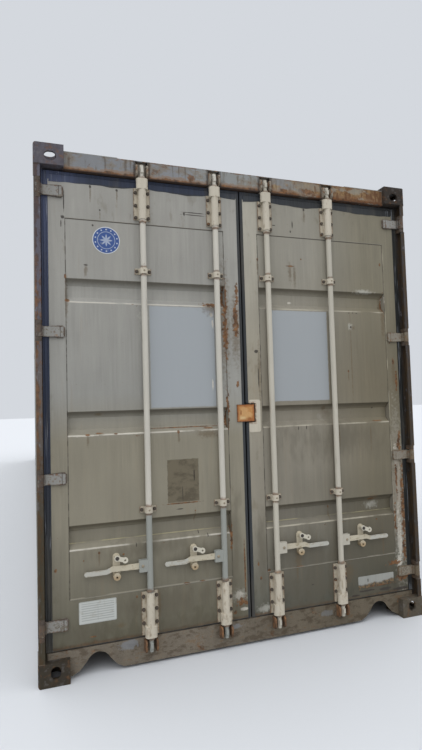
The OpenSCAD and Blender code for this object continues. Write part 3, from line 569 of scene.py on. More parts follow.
def row(first, last, unit, count=None, thick=1):
    """Places for units of a length in a row along a straight line, each drawn out to fit."""
    run = last - first
    count = count or max(1, round(run.length / unit))
    turn = run.to_track_quat("X", "Z").to_matrix().to_4x4()
    size = Matrix.Diagonal((run.length / count / unit, thick, thick, 1))
    return [Matrix.Translation(first + run * (step / count)) @ turn @ size for step in range(count)]


def hand_over(piece, body, coat):
    """Names the body that a piece rides on and its finish."""
    piece.data.materials.clear()
    piece.data.materials.append(coat.finish())
    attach(piece, body)


def end_y(depth):
    """Place along the container of a point this far in from the door end."""
    return END_Y + depth


def touches(part, *mark):
    """True where a mark lies on this part of a leaf, its panel or the frame round it."""
    x, z, half_x, half_z = (value / 1000 for value in mark)
    near, far = abs(x) - half_x, abs(x) + half_x
    if part == "panel":
        return far > PANEL_X[0] and near < PANEL_X[1] and z + half_z > PANEL_Z[0] and z - half_z < PANEL_Z[1]
    return near < PANEL_X[0] or far > PANEL_X[1] or z - half_z < PANEL_Z[0] or z + half_z > PANEL_Z[1]


class CONTAINER_OT_shell_finish(bpy.types.Operator):
    """Paints the walls, rails, roof and floor"""

    bl_idname = "container.shell_finish"
    bl_label = "Shell finish"

    def execute(self, context):
        assign(wall_paint("wall_paint", 1), "left_side_wall", "right_side_wall")
        assign(wall_paint("end_paint", 2), "front_wall")
        assign(weathered("roof_paint", "shell_paint", 4, 0.8, 1), "roof", "roof_corner_plates")
        rails = weathered("rail_paint", "shell_paint", 6, 0.7, 0.7)
        low = rails.z + rails.wobble(0.08, 0.03, 2)
        rails.rust(low.step(0.1, 0.03) * 0.7, 4)
        assign(rails, "top_side_rails", "bottom_side_rails", "front_end_rails")
        base = weathered("base_paint", (72, 68, 62), 7, 1.1, 0.7, 0.75)
        assign(base, "cross_members", "gooseneck_tunnel")
        assign(weathered("vent_paint", (150, 151, 147), 8, 0.4, 0.5), "ventilators")
        assign(floor_boards(), "plywood_floor")
        return {"FINISHED"}


def wall_paint(name, seed):
    """Paint with dirt that runs from the top rail and rust that climbs from the foot."""
    coat = weathered(name, "shell_paint", seed, 0.35, 0.8)
    run = coat.noise(0.05, 3, 30, seed + 6)
    reach = coat.z.step(1.6, 2.8)
    coat.shade((run + reach * 0.2).step(0.56, 0.78) * 0.45, (176, 164, 142))
    foot = coat.z + coat.wobble(0.1, 0.06, seed + 7)
    coat.rust(foot.step(0.24, 0.17) * 0.75, seed, 0.9, 0.0006)
    scrape = coat.noise(0.02, 3, (1, 22, 1), seed + 8)
    coat.tint((scrape * coat.noise(0.8, 2, seed=seed + 9)).step(0.42, 0.5) * 0.22, "chalk")
    return coat


def floor_boards():
    """Plywood in sheets, worn in patches, with dark joints between them."""
    coat = Coat("plywood", "plywood", 0.7)
    grain = coat.noise(0.012, 4, (1, 26, 1), 2)
    worn = coat.noise(0.4, 4, seed=5)
    coat.vary((grain - 0.5) * 0.7)
    coat.tint(worn.step(0.48, 0.72) * 0.5, (96, 82, 68), 0.8)
    sheet = abs(((coat.y + 20) / 2.4).sum("FRACT") - 0.5) * 2.4
    across = abs(((coat.x + 20) / 0.5825).sum("FRACT") - 0.5) * 0.5825
    coat.tint(sheet.low(across).step(0.003, 0.0015) * 0.85, (44, 36, 28), 0.9, -0.001)
    coat.lift(grain * 0.0004)
    return coat


class CONTAINER_OT_end_frame_finish(bpy.types.Operator):
    """Rusts the castings and the sill and paints the posts and the header"""

    bl_idname = "container.end_frame_finish"
    bl_label = "End frame finish"

    def execute(self, context):
        assign(casting_steel("upper_casting", (91, 88, 97), (46, 38, 31)), "top_corner_castings")
        assign(casting_steel("lower_casting", (53, 46, 35), (86, 79, 67)), "bottom_corner_castings")
        assign(post_paint(), "rear_corner_posts")
        assign(weathered("front_post", "shell_paint", 10, 0.7, 0.7), "front_corner_posts")
        assign(header_paint(), "door_header")
        assign(sill_rust(), "door_sill")
        keeper = weathered("keeper_paint", (140, 132, 120), 15, 0.6, 0.6, 0.8)
        brown = (keeper.noise(0.025, 4, seed=3) + keeper.z.step(0.5, 0.3) * 0.25).step(0.46, 0.6)
        keeper.rust(brown * 0.9, 2, 0.9, 0.0006)
        assign(keeper, "bar_keepers")
        assign(casting_steel("lug_rust", (84, 74, 66), (76, 64, 52)), "hinge_lugs")
        return {"FINISHED"}


def casting_steel(name, left, right):
    """Scaled, pitted steel, with another hue at the right side and pale patches."""
    coat = Coat(name, left, 0.82)
    coat.tint(coat.x.step(-0.6, 0.6), right)
    patch = coat.noise(0.04, 5, seed=2, rough=0.65)
    grit = coat.noise(0.004, 3, seed=4)
    coat.vary((coat.noise(0.02, 4, seed=6) - 0.5) * 1.1)
    coat.rust(patch.step(0.52, 0.66) * 0.55, 1, 0.92, 0.0006)
    coat.tint(patch.step(0.44, 0.36) * 0.3, (120, 117, 118), 0.8)
    coat.tint(grit.step(0.54, 0.74) * 0.45, (46, 38, 34))
    coat.lift(grit * 0.0006)
    return coat


def sill_rust():
    """Brown-grey scale with some blue-grey paint left on it."""
    coat = weathered("sill_rust", (118, 110, 98), 14, 0.8, 0.9, 0.82)
    patch = coat.noise(0.08, 6, 0.5, 5, 0.68)
    coat.tint(patch.step(0.5, 0.6) * 0.65, (84, 72, 58), 0.9, 0.0007)
    coat.tint(patch.step(0.42, 0.36) * 0.5, (128, 102, 76), 0.9)
    grit = coat.noise(0.008, 4, seed=8, rough=0.7)
    coat.vary((grit - 0.5) * 1.1)
    coat.tint(grit.step(0.6, 0.68) * 0.7, (58, 50, 42), 0.9, -0.0005)
    coat.tint(grit.step(0.36, 0.3) * 0.5, (156, 148, 132), 0.8)
    blue = coat.marks([(-740, 125, 46, 24), (514, 101, 44, 18), (-100, 120, 40, 12)], 0.9, 7)
    coat.tint(blue * 0.6, (132, 138, 146), 0.6)
    coat.shade(coat.x.step(-0.3, 0.6) * 0.8, (222, 218, 206))
    return coat


def post_paint():
    """Mauve-brown paint, khaki and dark at the foot, with a rusty outer edge."""
    coat = weathered("rear_post", "post_paint", 9, 0.5, 0.8, 0.7)
    coat.tint(coat.z.step(2.2, 1.4) * 0.8, (96, 86, 76))
    coat.tint(coat.z.step(1.5, 0.7) * 0.9, (56, 49, 28))
    coat.tint(coat.x.step(-0.5, 0.5) * 0.9, (50, 43, 36))
    flake = coat.noise(0.022, 6, 2.4, 3, 0.68)
    edge = (abs(coat.x) + coat.wobble(0.03, 0.008, 3)).step(1.19, 1.212)
    left = coat.x.step(0.4, -0.4)
    brown = coat.mix(coat.z.step(0.6, 1.8) * left, (74, 58, 38), coat.rusty(6))
    brown = coat.mix(coat.z.step(2, 2.4) * left * 0.8, brown, (66, 56, 58))
    coat.tint((flake + edge * 0.12).step(0.5, 0.6) * 0.8, brown, 0.9, 0.0006)
    coat.tint(flake.step(0.4, 0.34) * (coat.z.step(0.6, 1.6) * 0.35 + 0.15), (138, 134, 140))
    side = abs(coat.x).step(1.2145, 1.2155)
    coat.tint(side * 0.6, "shell_paint")
    return coat


def header_paint():
    """Blue-grey paint at the left, orange-brown at the right, with rust along the lower edge."""
    coat = weathered("header_paint", "header_paint", 12, 0.4, 0.6)
    coat.tint(coat.band(coat.x, -0.05, 0.25) * 0.6, (150, 153, 150))
    mottle = coat.noise(0.07, 6, (1.6, 1, 1), 6, 0.68)
    coat.tint(mottle.step(0.49, 0.58) * 0.55, (128, 116, 98), 0.8)
    coat.rust(mottle.step(0.6, 0.66) * 0.6, 13, 0.9, 0.0004)
    patch = coat.noise(0.16, 6, (1.4, 1, 0.6), 5, 0.64)
    share = (patch + coat.x.step(0.05, 0.6) * 0.24).step(0.54, 0.64)
    tan = coat.mix(coat.noise(0.04, 4, seed=7).step(0.4, 0.6), (124, 92, 60), (160, 140, 108))
    coat.tint(share * 0.85, tan, 0.88, 0.0005)
    run = coat.noise(0.02, 3, 8, 8)
    coat.shade(run.step(0.54, 0.68) * 0.6, (170, 146, 116))
    ragged = coat.wobble(0.035, 0.026, 4) - coat.x.step(0.1, 0.4) * 0.006
    low = (coat.z + ragged).step(2.802, 2.792)
    coat.tint(low * 0.8, (140, 120, 104), 0.9, 0.0008)
    coat.rust((coat.z + ragged * 0.7).step(2.787, 2.78) * 0.85, 3)
    coat.tint((coat.z + ragged * 0.2).step(2.778, 2.773) * 0.8, (52, 42, 38), 0.9)
    right = coat.x.step(0.1, 0.7)
    coat.shade(right * 0.95, (230, 208, 180))
    coat.tint(patch.step(0.5, 0.43) * right * 0.65, (150, 148, 136), 0.7)
    drip = coat.noise(0.03, 4, 3, 23, 0.65)
    coat.tint((drip + coat.z.step(2.86, 2.8) * 0.1 - 0.06).step(0.54, 0.6) * right * 0.75, (96, 62, 38), 0.9)
    spots = [(-317, 2806, 22, 20), (302, 2795, 26, 12), (475, 2806, 36, 16), (820, 2795, 40, 14)]
    coat.rust(coat.marks(spots, 0.9, 6) * 0.85, 5)
    coat.rust(coat.z.step(2.858, 2.868) * coat.noise(0.03, 4, seed=17).step(0.46, 0.6) * 0.8, 19)
    near = coat.x.nearest(BAR_X)
    # Painted light: the backs of the pockets round the bars are lightened against the shade in them.
    pocket_light = near.step(0.0365, 0.0355) * coat.y.step(end_y(0.05), end_y(0.054))
    coat.tint(pocket_light * 0.8, (176, 170, 158))
    ring = coat.band(near + coat.wobble(0.02, 0.008, 21), 0.038, 0.01)
    coat.tint(ring * 0.7, (58, 50, 46), 0.9)
    return coat


class CONTAINER_OT_door_finish(bpy.types.Operator):
    """Paints the leaves, their seals and their hinges"""

    bl_idname = "container.door_finish"
    bl_label = "Door finish"

    def execute(self, context):
        leaf_paint("left", 20)
        leaf_paint("right", 40)
        assign(seal_rubber(), "left_door_seal", "right_door_seal")
        assign(hinge_paint(), "left_door_hinges", "right_door_hinges")
        return {"FINISHED"}


def leaf_paint(side, seed):
    """Paint that is paler at the head of the leaf and dirty at its foot, with all its marks."""
    foot, knee, waist, head = (f"{side}_{part}" for part in ("foot", "knee", "waist", "head"))
    dirty = Color([(low + high) / 2 * 0.94 for low, high in zip(paint(foot), paint(knee))])
    stops = ((0.18, foot), (0.45, dirty), (0.8, knee), (1.25, knee), (1.52, waist), (2.4, head))
    for part in ("frame", "panel"):
        coat = weathered(f"{side}_{part}_paint", lambda made: made.rise(stops), seed, 0, 0.62)
        fine = coat.noise(0.011, 2, 26, seed + 13) - 0.5
        coat.vary(fine * coat.noise(0.25, 2, seed=seed + 14).step(0.4, 0.6) * 0.3)
        plain, outer = (coat.colour, coat.rough), outside(coat, part)
        leaf_marks(coat, side, part)
        coat.colour = coat.mix(outer, plain[0], coat.colour)
        coat.rough = coat.blend(outer, plain[1], coat.rough)
        assign(coat, f"{side}_door_{part}")


def outside(coat, part):
    """1 on the outer face of a leaf and 0 on its inner face, in the grooves as well."""
    depth = coat.y - end_y(DOOR_T)
    if part == "frame":
        return depth.step(0.0026, 0.0012)
    fold = ((GROOVE_HALF - coat.z.nearest(GROOVE_Z)) / 0.034).high(0).low(1) * 0.036
    return (depth - fold).step(0.0022, 0.0012)


def leaf_marks(coat, side, part):
    """Wear, dirt, seams, painted shade on the right leaf and all the marks of one part of a leaf."""
    sign = -1 if side == "left" else 1
    across = abs(coat.x)
    if side == "right":
        # Painted shade: the right leaf darkens towards its hinge side. The line after darkens it low down,
        # outwards of x 0.2.
        coat.shade(across.step(0.42, 0.95) * 0.9, (214, 209, 192))
        coat.shade(across.step(0.2, 0.4) * coat.z.step(1.15, 0.85) * 0.8, (229, 229, 226))
    if part == "frame":
        pale = 0.06 if side == "left" else coat.z.step(1, 1.6) * 0.18 + 0.17
        coat.vary(across.step(0.118, 0.11) * pale)
        foot = coat.z + coat.wobble(0.05, 0.016, 14)
        coat.tint(foot.step(0.182, 0.165) * 0.6, coat.mix(0.5, coat.rusty(8), (66, 58, 46)), 0.9)
        seep = coat.noise(0.05, 4, 2, 15) + coat.z.step(0.4, 0.16) * 0.16
        coat.shade(seep.step(0.58, 0.76) * 0.35, (190, 180, 156))
    else:
        grooves(coat, side)
        repainted(coat, side)
        crack = abs(coat.z - PANEL_Z[1] + 0.003).step(0.0048, 0.002)
        coat.tint(crack * 0.85, (56, 53, 47), 0.8)
    if side == "right":
        edge = abs(across - PANEL_X[1] - 0.005).step(0.004, 0.0015)
        edge = edge * coat.z.step(0.45, 0.6) * coat.z.step(2.5, 2.4)
        coat.tint(edge * coat.noise(0.05, 4, 3, 41).step(0.42, 0.56) * 0.65, (184, 178, 158))
    middle, half = (PANEL_Z[0] + PANEL_Z[1]) / 2, (PANEL_Z[1] - PANEL_Z[0]) / 2
    seams = abs(across - PANEL_X[0]).low(abs(across - PANEL_X[1])).high(abs(coat.z - middle) - (half - 0.002))
    dashed = coat.noise(0.03, 4, 1.6, 43).step(0.44, 0.54) * 0.35 + 0.5
    coat.tint(seams.step(0.0038, 0.0014) * dashed, (62, 57, 49), 0.8)
    for places, colour, share, ragged, soft, grain, seed in MARKS:
        own = [mark for mark in places if mark[0] * sign > 0 and touches(part, *mark)]
        if not own:
            continue
        mask = coat.marks(own, ragged, seed, soft, grain) * share
        if isinstance(colour, int):
            coat.rust(mask, colour, 0.85, 0.0005)
        else:
            coat.tint(mask, colour)


def grooves(coat, side):
    """Painted shade under each upper bend, and the pale line along each lower bend: worn paint with a painted
    highlight.
    """
    # Painted shade: the upper slope of each groove is darkened just under its bend.
    over = [coat.z - (z + GROOVE_HALF) for z in GROOVE_Z]
    under = functools.reduce(Wire.high, [up.step(-0.032, -0.004) * up.step(0.004, 0.001) for up in over])
    coat.shade(under * 0.85, (164, 158, 146))
    # Painted light: the floor of the upper grooves is lightened against its shade; the lowest groove's floor
    # is darkened.
    flat = coat.y.step(end_y(DOOR_T + 0.02), end_y(DOOR_T + 0.036))
    coat.vary(flat * (coat.z.step(0.9, 1.2) * 0.2 - (0.1 if side == "left" else 0.13)))
    # The pale line along each lower bend is worn paint with a painted highlight.
    broken = coat.noise(0.06, 3, (3, 1, 1), 9).step(0.34, 0.52)
    bright = "chalk" if side == "left" else (188, 182, 166)
    line = coat.z.nearest([z - GROOVE_HALF + 0.001 for z in GROOVE_Z])
    coat.tint(line.step(0.0055, 0.0025) * broken * 0.75, bright, 0.7)
    over = abs(coat.z - (GROOVE_Z[0] - GROOVE_HALF + 0.032)).step(0.003, 0.0012)
    coat.tint(over * broken * 0.5, (190, 182, 140))
    # Painted highlight: a pale line along the lower panel seam.
    seam = abs(coat.z - PANEL_Z[0] - 0.004).step(0.0045, 0.0015)
    coat.tint(seam * broken * 0.5, (176, 170, 154), 0.7)
    below = functools.reduce(
        Wire.high, [abs(coat.z - (z - GROOVE_HALF - 0.01)).step(0.016, 0.004) for z in GROOVE_Z])
    chip = coat.noise(0.03, 5, (2, 1, 1), 16, 0.65).step(0.64, 0.7)
    coat.rust(below * chip * 0.85, 18, 0.88)


def repainted(coat, side):
    """Newer blue-grey field with a ragged edge, and the brown square left by glue."""
    ragged = coat.wobble(0.02, 0.004, 21)
    if side == "left":
        field = coat.box(-0.585, -0.187, 1.43, 2.022, 0.003, ragged)
        square = coat.box(-0.5, -0.31, 0.878, 1.125, 0.003, ragged)
        glue = coat.noise(0.045, 6, (1.6, 1, 1), 24, 0.66)
        film = coat.mix(glue.step(0.36, 0.56), (84, 76, 61), (108, 100, 83))
        coat.tint(square * 0.88, film, 0.9, -0.0002)
        haze = coat.box(-0.56, -0.2, 0.225, 0.404, 0.03, coat.wobble(0.08, 0.02, 27))
        coat.tint(haze * 0.45, (116, 119, 118), 0.7)
    else:
        field = coat.box(0.2, 0.595, 1.447, 2.022, 0.003, ragged)
        haze = coat.box(0.2, 0.59, 0.225, 0.404, 0.03, coat.wobble(0.08, 0.02, 28))
        coat.tint(haze * 0.35, (98, 101, 99), 0.7)
    coat.tint(field * 0.88, "repaint", 0.5)


def seal_rubber():
    """Rubber, dusty at the foot, with a painted blue sheen at the top and the left, painted highlights along
    the sides and painted light in the middle.
    """
    coat = Coat("seal_rubber", "rubber", 0.5)
    left = coat.x.step(-0.9, -1.1)
    outer = coat.y.step(end_y(0.07), end_y(0.058))
    # Painted sheen: blue over the outer face of the seal at the top and the left.
    painted_sheen = (left * coat.z.step(0.6, 1.4)).high(coat.z.step(2.7, 2.72) * coat.x.step(0.5, -0.3))
    coat.tint(painted_sheen * outer * 0.8, "navy")
    # A paler blue, more painted sheen, high on the left.
    coat.tint(left * coat.z.step(1.5, 2.5) * outer * 0.85, (66, 76, 106))
    coat.tint(coat.x.step(0.9, 1.1) * 0.9, (21, 22, 20))
    coat.tint(left * coat.z.step(0.9, 0.4) * 0.7, (30, 30, 24))
    # Painted light: the rubber in the middle, between the leaves, is lifted against its shade.
    coat.tint(abs(coat.x).step(0.3, 0.1) * 0.6, (52, 57, 61))
    run = coat.noise(0.012, 4, 22, 3)
    coat.vary((run - 0.5) * 1.3)
    # Pale streaks near both sides: painted highlights along the lip, and pale peeled paint.
    glint = coat.noise(0.01, 3, 30, 6).step(0.61, 0.68)
    coat.tint(glint * abs(coat.x).step(1, 1.1) * 0.75, (150, 156, 166), 0.4)
    dust = coat.noise(0.05, 4, 8, 9)
    coat.tint((dust + coat.z.step(1.2, 0.2) * 0.12).step(0.52, 0.75) * 0.45, (92, 88, 80), 0.8)
    coat.lift(coat.noise(0.004, 2, seed=4) * 0.0003)
    return coat


def hinge_paint():
    """Grey paint, with rust and painted shadow in dark brown round the edges of each blade."""
    coat = weathered("hinge_paint", (144, 144, 141), 50, 0.7, 0.6)
    across = HALF_X - abs(coat.x)
    near = coat.z.nearest(HINGE_Z)
    # Rust with painted shadow: dark brown round the end, the root and both edges of each blade.
    edge = (near + coat.wobble(0.014, 0.007, 3)).step(0.023, 0.031)
    end = (across + coat.wobble(0.014, 0.006, 4)).step(0.146, 0.155)
    root = (across + coat.wobble(0.014, 0.01, 5)).step(0.058, 0.036)
    coat.tint(edge.high(end).high(root) * 0.85, coat.mix(0.7, coat.rusty(7), (50, 44, 42)), 0.9, 0.0004)
    crease = abs(across - 0.134 + coat.wobble(0.03, 0.002, 6)).step(0.003, 0.001)
    coat.tint(crease * 0.8, (56, 50, 46), 0.85)
    wear = coat.noise(0.02, 5, seed=8, rough=0.65)
    coat.tint(coat.x.step(-0.5, 0.5) * coat.z.step(2.6, 2) * 0.55, (128, 116, 94))
    coat.tint(wear.step(0.54, 0.64) * 0.6, (188, 188, 182))
    grime = wear + (coat.z.step(0.8, 0.3) * 0.07 - 0.04)
    coat.tint(grime.step(0.52, 0.6) * 0.7, (88, 74, 52), 0.85)
    coat.rust((1 - wear).step(0.55, 0.63) * 0.6, 14, 0.88)
    return coat


class CONTAINER_OT_gear_finish(bpy.types.Operator):
    """Paints the lock bars, brackets, handles, catches and the guard plate"""

    bl_idname = "container.gear_finish"
    bl_label = "Locking gear finish"

    def execute(self, context):
        for number in range(1, 5):
            coat = weathered(f"bar_paint_{number}", "bar", 60 + number, 0.15, 0.6, 0.5)
            if number > 2:
                coat.shade(0.75, (238, 236, 230))
            if number < 3:
                coat.tint(coat.z.step(0.85, 0.835) * 0.95, "low_bar", 0.55)
            ring_rust(coat)
            assign(coat, f"lock_bar_{number}")
            assign(handle_paint(number), f"handle_{number}")
            coat = weathered(f"catch_steel_{number}", (208, 204, 190), 80 + number, 0.4, 0.4)
            assign(coat, f"catch_{number}")
        assign(bracket_paint(), "left_bar_brackets", "right_bar_brackets")
        ear = weathered("retainer_paint", (196, 188, 168), 92, 0.7, 0.6)
        low = (ear.z + ear.wobble(0.012, 0.008, 3)).step(0.535, 0.5)
        ear.tint(low * 0.65, (158, 128, 84), 0.85)
        assign(ear, "left_handle_retainers", "right_handle_retainers")
        assign(guard_plate(), "seal_guard_plate")
        return {"FINISHED"}


def handle_paint(number):
    """Cream paint at the root, grey and worn at the grip, with brown dirt along it."""
    coat = weathered(f"handle_paint_{number}", "cream", 70 + number, 0.45, 0.8)
    reach = abs(coat.x - BAR_X[number - 1])
    coat.tint((reach + coat.wobble(0.02, 0.008, 2)).step(0.215, 0.23) * 0.85, (186, 187, 182), 0.5)
    dirt = coat.noise(0.018, 5, (2.4, 1, 1), 4, 0.66)
    coat.tint(dirt.step(0.52, 0.64) * 0.6, (146, 130, 98), 0.8)
    coat.tint(dirt.step(0.66, 0.72) * 0.8, (84, 70, 54), 0.85)
    return coat


def ring_rust(coat):
    """Rust where collars and guides rub on a bar."""
    near = coat.z.nearest((0.15, 0.412, 0.836, 0.878, 2.199, 2.241, 2.505, 2.765))
    share = (near + coat.wobble(0.02, 0.012, 5)).step(0.016, 0.002)
    coat.rust(share * 0.7, 9, 0.85)
    run = coat.noise(0.012, 3, 20, 6)
    coat.tint(run.step(0.66, 0.76) * 0.5, "stain")


def bracket_paint():
    """Warm white paint, brown along the edges of the plates and worn at the foot."""
    coat = weathered("bracket_paint", "bracket", 90, 0.4, 0.6)
    scuff = coat.noise(0.022, 6, 2.6, 7, 0.66)
    low = coat.z.step(0.9, 0.4)
    coat.tint((scuff + low * 0.05).step(0.55, 0.67) * 0.5, (146, 128, 102), 0.85)
    coat.rust((scuff + low * 0.04).step(0.66, 0.74) * 0.7, 12)
    near = coat.x.nearest(BAR_X)
    edge = (near + coat.wobble(0.014, 0.008, 3)).step(0.04, 0.049)
    coat.rust(edge * 0.7, 4, 0.88)
    plate = coat.y.step(end_y(0.034), end_y(0.044)) * near.step(0.019, 0.023)
    coat.shade(plate * 0.35, (190, 180, 160))
    return coat


def guard_plate():
    """Orange rust with a grain like wood and dark edges."""
    plate = Coat("guard_plate_rust", (202, 158, 106), 0.8)
    grain = plate.noise(0.009, 3, (0.4, 1, 1.6), 17, 0.6)
    plate.vary((grain - 0.5) * 0.6)
    cloud = plate.noise(0.035, 3, seed=12)
    plate.tint(cloud.step(0.46, 0.6) * 0.6, (184, 124, 66), 0.9)
    pale = plate.marks([(-20, 1352, 20, 8)], 0.8, 3, 0.6)
    plate.tint(pale * 0.6, (216, 196, 150))
    dark = plate.marks([(26, 1344, 20, 8), (-32, 1384, 6, 14)], 0.9, 5, 0.6)
    plate.tint(dark * 0.7, (136, 78, 42), 0.9)
    rim = abs(plate.x - 0.001).high(abs(plate.z - GUARD_Z) + 0.0045) + plate.wobble(0.02, 0.007, 5)
    plate.tint(rim.step(0.036, 0.05) * 0.8, (158, 96, 52), 0.9)
    plate.tint(rim.step(0.051, 0.057) * 0.85, (88, 58, 42), 0.9)
    plate.lift(grain * 0.0006)
    return plate


class CONTAINER_OT_bracket_bolts(bpy.types.Operator):
    """Bolts through the bar brackets"""

    bl_idname = "container.bracket_bolts"
    bl_label = "Bracket bolts"

    def execute(self, context):
        steel = weathered("bolt_steel", (78, 70, 62), 95, 0.9, 0.8, 0.7)
        heights = (0.23, 0.303, 0.376, *GUIDE_Z, 2.536, 2.608, 2.685)
        beside, plate_front = 0.037, end_y(DOOR_T - 0.006)
        for side, _, bars in SIDES:
            places = [Vector((BAR_X[bar] + across, plate_front, z))
                      for bar in bars for across in (-beside, beside) for z in heights]
            bolts = repeat(bolt(), places, f"{side}_bracket_bolts")
            hand_over(bolts, f"{side}_door", steel)
        return {"FINISHED"}


def bolt():
    """Six-sided head with a chamfered crown on a washer, facing the front."""
    across, height, washer = sizes().bolt_across, sizes().bolt_height, 0.0015
    disc = stud("washer", 16, across * 0.62, washer, [(across * 0.04, washer * 0.3)])
    head = stud("head", 6, across / math.sqrt(3), height, [(across * 0.1, height * 0.15)], foot=washer)
    return join([disc, head], "bolt")


def stud(name, sides, radius, depth, steps, foot=0):
    """Short cylinder that stands out towards the front, its front face drawn in and out by steps."""
    piece = start(
        bpy.ops.mesh.primitive_cylinder_add, name, vertices=sides, radius=radius, depth=depth,
        location=(0, -foot - depth / 2, 0), rotation=FACING)
    with editing(piece):
        pick(piece, "FACE", lambda face: face.normal.y < -0.9)
        for thickness, rise in steps:
            inset(thickness, (0, -rise, 0))
    return piece


class CONTAINER_OT_rivets(bpy.types.Operator):
    """Rivets on the guides, the handle pins and the catch posts"""

    bl_idname = "container.rivets"
    bl_label = "Rivets"

    def execute(self, context):
        pale = weathered("rivet_paint", (150, 140, 122), 96, 0.8, 0.6, 0.7)
        dark = weathered("rivet_steel", (58, 52, 48), 97, 0.6, 0.6, 0.6)
        guide_front = end_y(0.0046)
        catch_front, catch_z, catch_beside = end_y(0.0067), 0.612, {"left": -0.184, "right": 0.166}
        for side, _, bars in SIDES:
            places = [Vector((BAR_X[bar], guide_front, z)) for bar in bars for z in GUIDE_Z]
            rivets = repeat(dome(radius=0.006, height=0.0036), places, f"{side}_guide_rivets")
            hand_over(rivets, f"{side}_door", pale)
            places = [Vector((BAR_X[bar] + catch_beside[side], catch_front, catch_z)) for bar in bars]
            rivets = repeat(dome(radius=0.0105, height=0.0042), places, f"{side}_catch_rivets")
            hand_over(rivets, f"{side}_door", dark)
        pin_beside, pin_z, hub_front, hub_back = 0.042, 0.552, end_y(0.0128), end_y(0.0372)
        for number, x in enumerate(BAR_X, start=1):
            pin = x + math.copysign(pin_beside, x)
            front = Matrix.Translation((pin, hub_front, pin_z))
            back = Matrix.Translation((pin, hub_back, pin_z)) @ Matrix.Rotation(math.pi, 4, "Z")
            head = dome(radius=0.0085, height=0.0048)
            heads = repeat(head, [front, back], f"handle_pin_heads_{number}")
            hand_over(heads, f"bar_handle_{number}", pale)
        return {"FINISHED"}


def dome(radius, height):
    """Rivet head that bulges towards the front, with its seat at y = 0."""
    curve = [(radius * share, height * bulge) for share, bulge in ((0.16, 0.3), (0.24, 0.22), (0.3, 0.13))]
    head = stud("rivet", 14, radius, height * 0.35, curve)
    select(head)
    bpy.ops.object.shade_smooth_by_angle(angle=math.radians(50))
    return head


class CONTAINER_OT_welds(bpy.types.Operator):
    """Weld beads round the castings, the sill, the hinge blades and the leaf panels"""

    bl_idname = "container.welds"
    bl_label = "Welds"

    def execute(self, context):
        rust = weathered("weld_rust", (96, 82, 68), 98, 0.9, 0.8, 0.8)
        grey = weathered("weld_paint", (110, 104, 94), 99, 0.6, 0.7, 0.7)
        seam = weathered("seam_paint", (142, 138, 128), 101, 0.3, 0.7, 0.65)
        lay_beads(frame_lines(), "frame_welds", "container", rust)
        for side, sign, _ in SIDES:
            lay_beads(blade_lines(sign), f"{side}_hinge_welds", f"{side}_door", grey)
            lines = [[spot(sign, x, DOOR_T, z) for x in PANEL_X] for z in PANEL_Z]
            lay_beads(lines, f"{side}_panel_welds", f"{side}_door", seam, 0.5)
        return {"FINISHED"}


def spot(sign, across, depth, height, end=-1):
    """Point at a distance from the middle plane, in from an end and up from the ground."""
    return Vector((sign * across, end * (-END_Y - depth), height))


def frame_lines():
    """Lines round the castings, beside the sill and header, and beside the lower keepers."""
    side, beam_end, keeper_half, header_front, sill_front = 1.215, 1.058, 0.0365, 0.028, 0.048
    casting_front, casting_start, casting_back = 0.006, 0.008, 0.163
    lines = []
    for sign in (-1, 1):
        for end, leg in ((-1, 0.036), (1, 0.133)):
            for z in (0.118, 2.778):
                lines.append([spot(sign, x, casting_front, z, end) for x in (side, HALF_X - leg)])
                lines.append([spot(sign, side, depth, z, end) for depth in (casting_start, casting_back)])
        lines.append([spot(sign, beam_end, header_front, z) for z in (2.774, 2.866)])
        lines.append([spot(sign, beam_end, sill_front, z) for z in (0.022, 0.116)])
    for x in BAR_X:
        for across in (-keeper_half, keeper_half):
            lines.append([Vector((x + across, end_y(sill_front), z)) for z in (0.08, 0.142)])
    return lines


def blade_lines(sign):
    """Lines along the end and both edges of each hinge blade."""
    tip, half = 1.062, 0.032
    lines = []
    for z in HINGE_Z:
        lines.append([spot(sign, tip, DOOR_T, z + up) for up in (0.008 - half, half - 0.008)])
        for up in (-half, half):
            lines.append([spot(sign, x, DOOR_T, z + up) for x in (tip + 0.008, tip + 0.04)])
    return lines


def lay_beads(lines, name, body, coat, thick=1):
    """Rows of bead units along straight lines."""
    unit = 0.05
    places = [place for first, last in lines for place in row(first, last, unit, thick=thick)]
    hand_over(repeat(bead(unit), places, name), body, coat)


def bead(size):
    """Length of rippled weld bead from the origin along x."""
    rings, ripple = 9, 1.22
    piece = start(
        bpy.ops.mesh.primitive_circle_add, "bead", vertices=7, radius=sizes().weld_radius, fill_type="NGON",
        rotation=(0, math.pi / 2, 0))
    with editing(piece):
        pick(piece)
        for ring in range(1, rings + 1):
            swell = ripple if ring % 2 else 1 / ripple
            extrude((size / rings, 0, 0))
            bpy.ops.transform.resize(value=(1, swell, swell), center_override=(size * ring / rings, 0, 0))
        turn_out()
    return piece


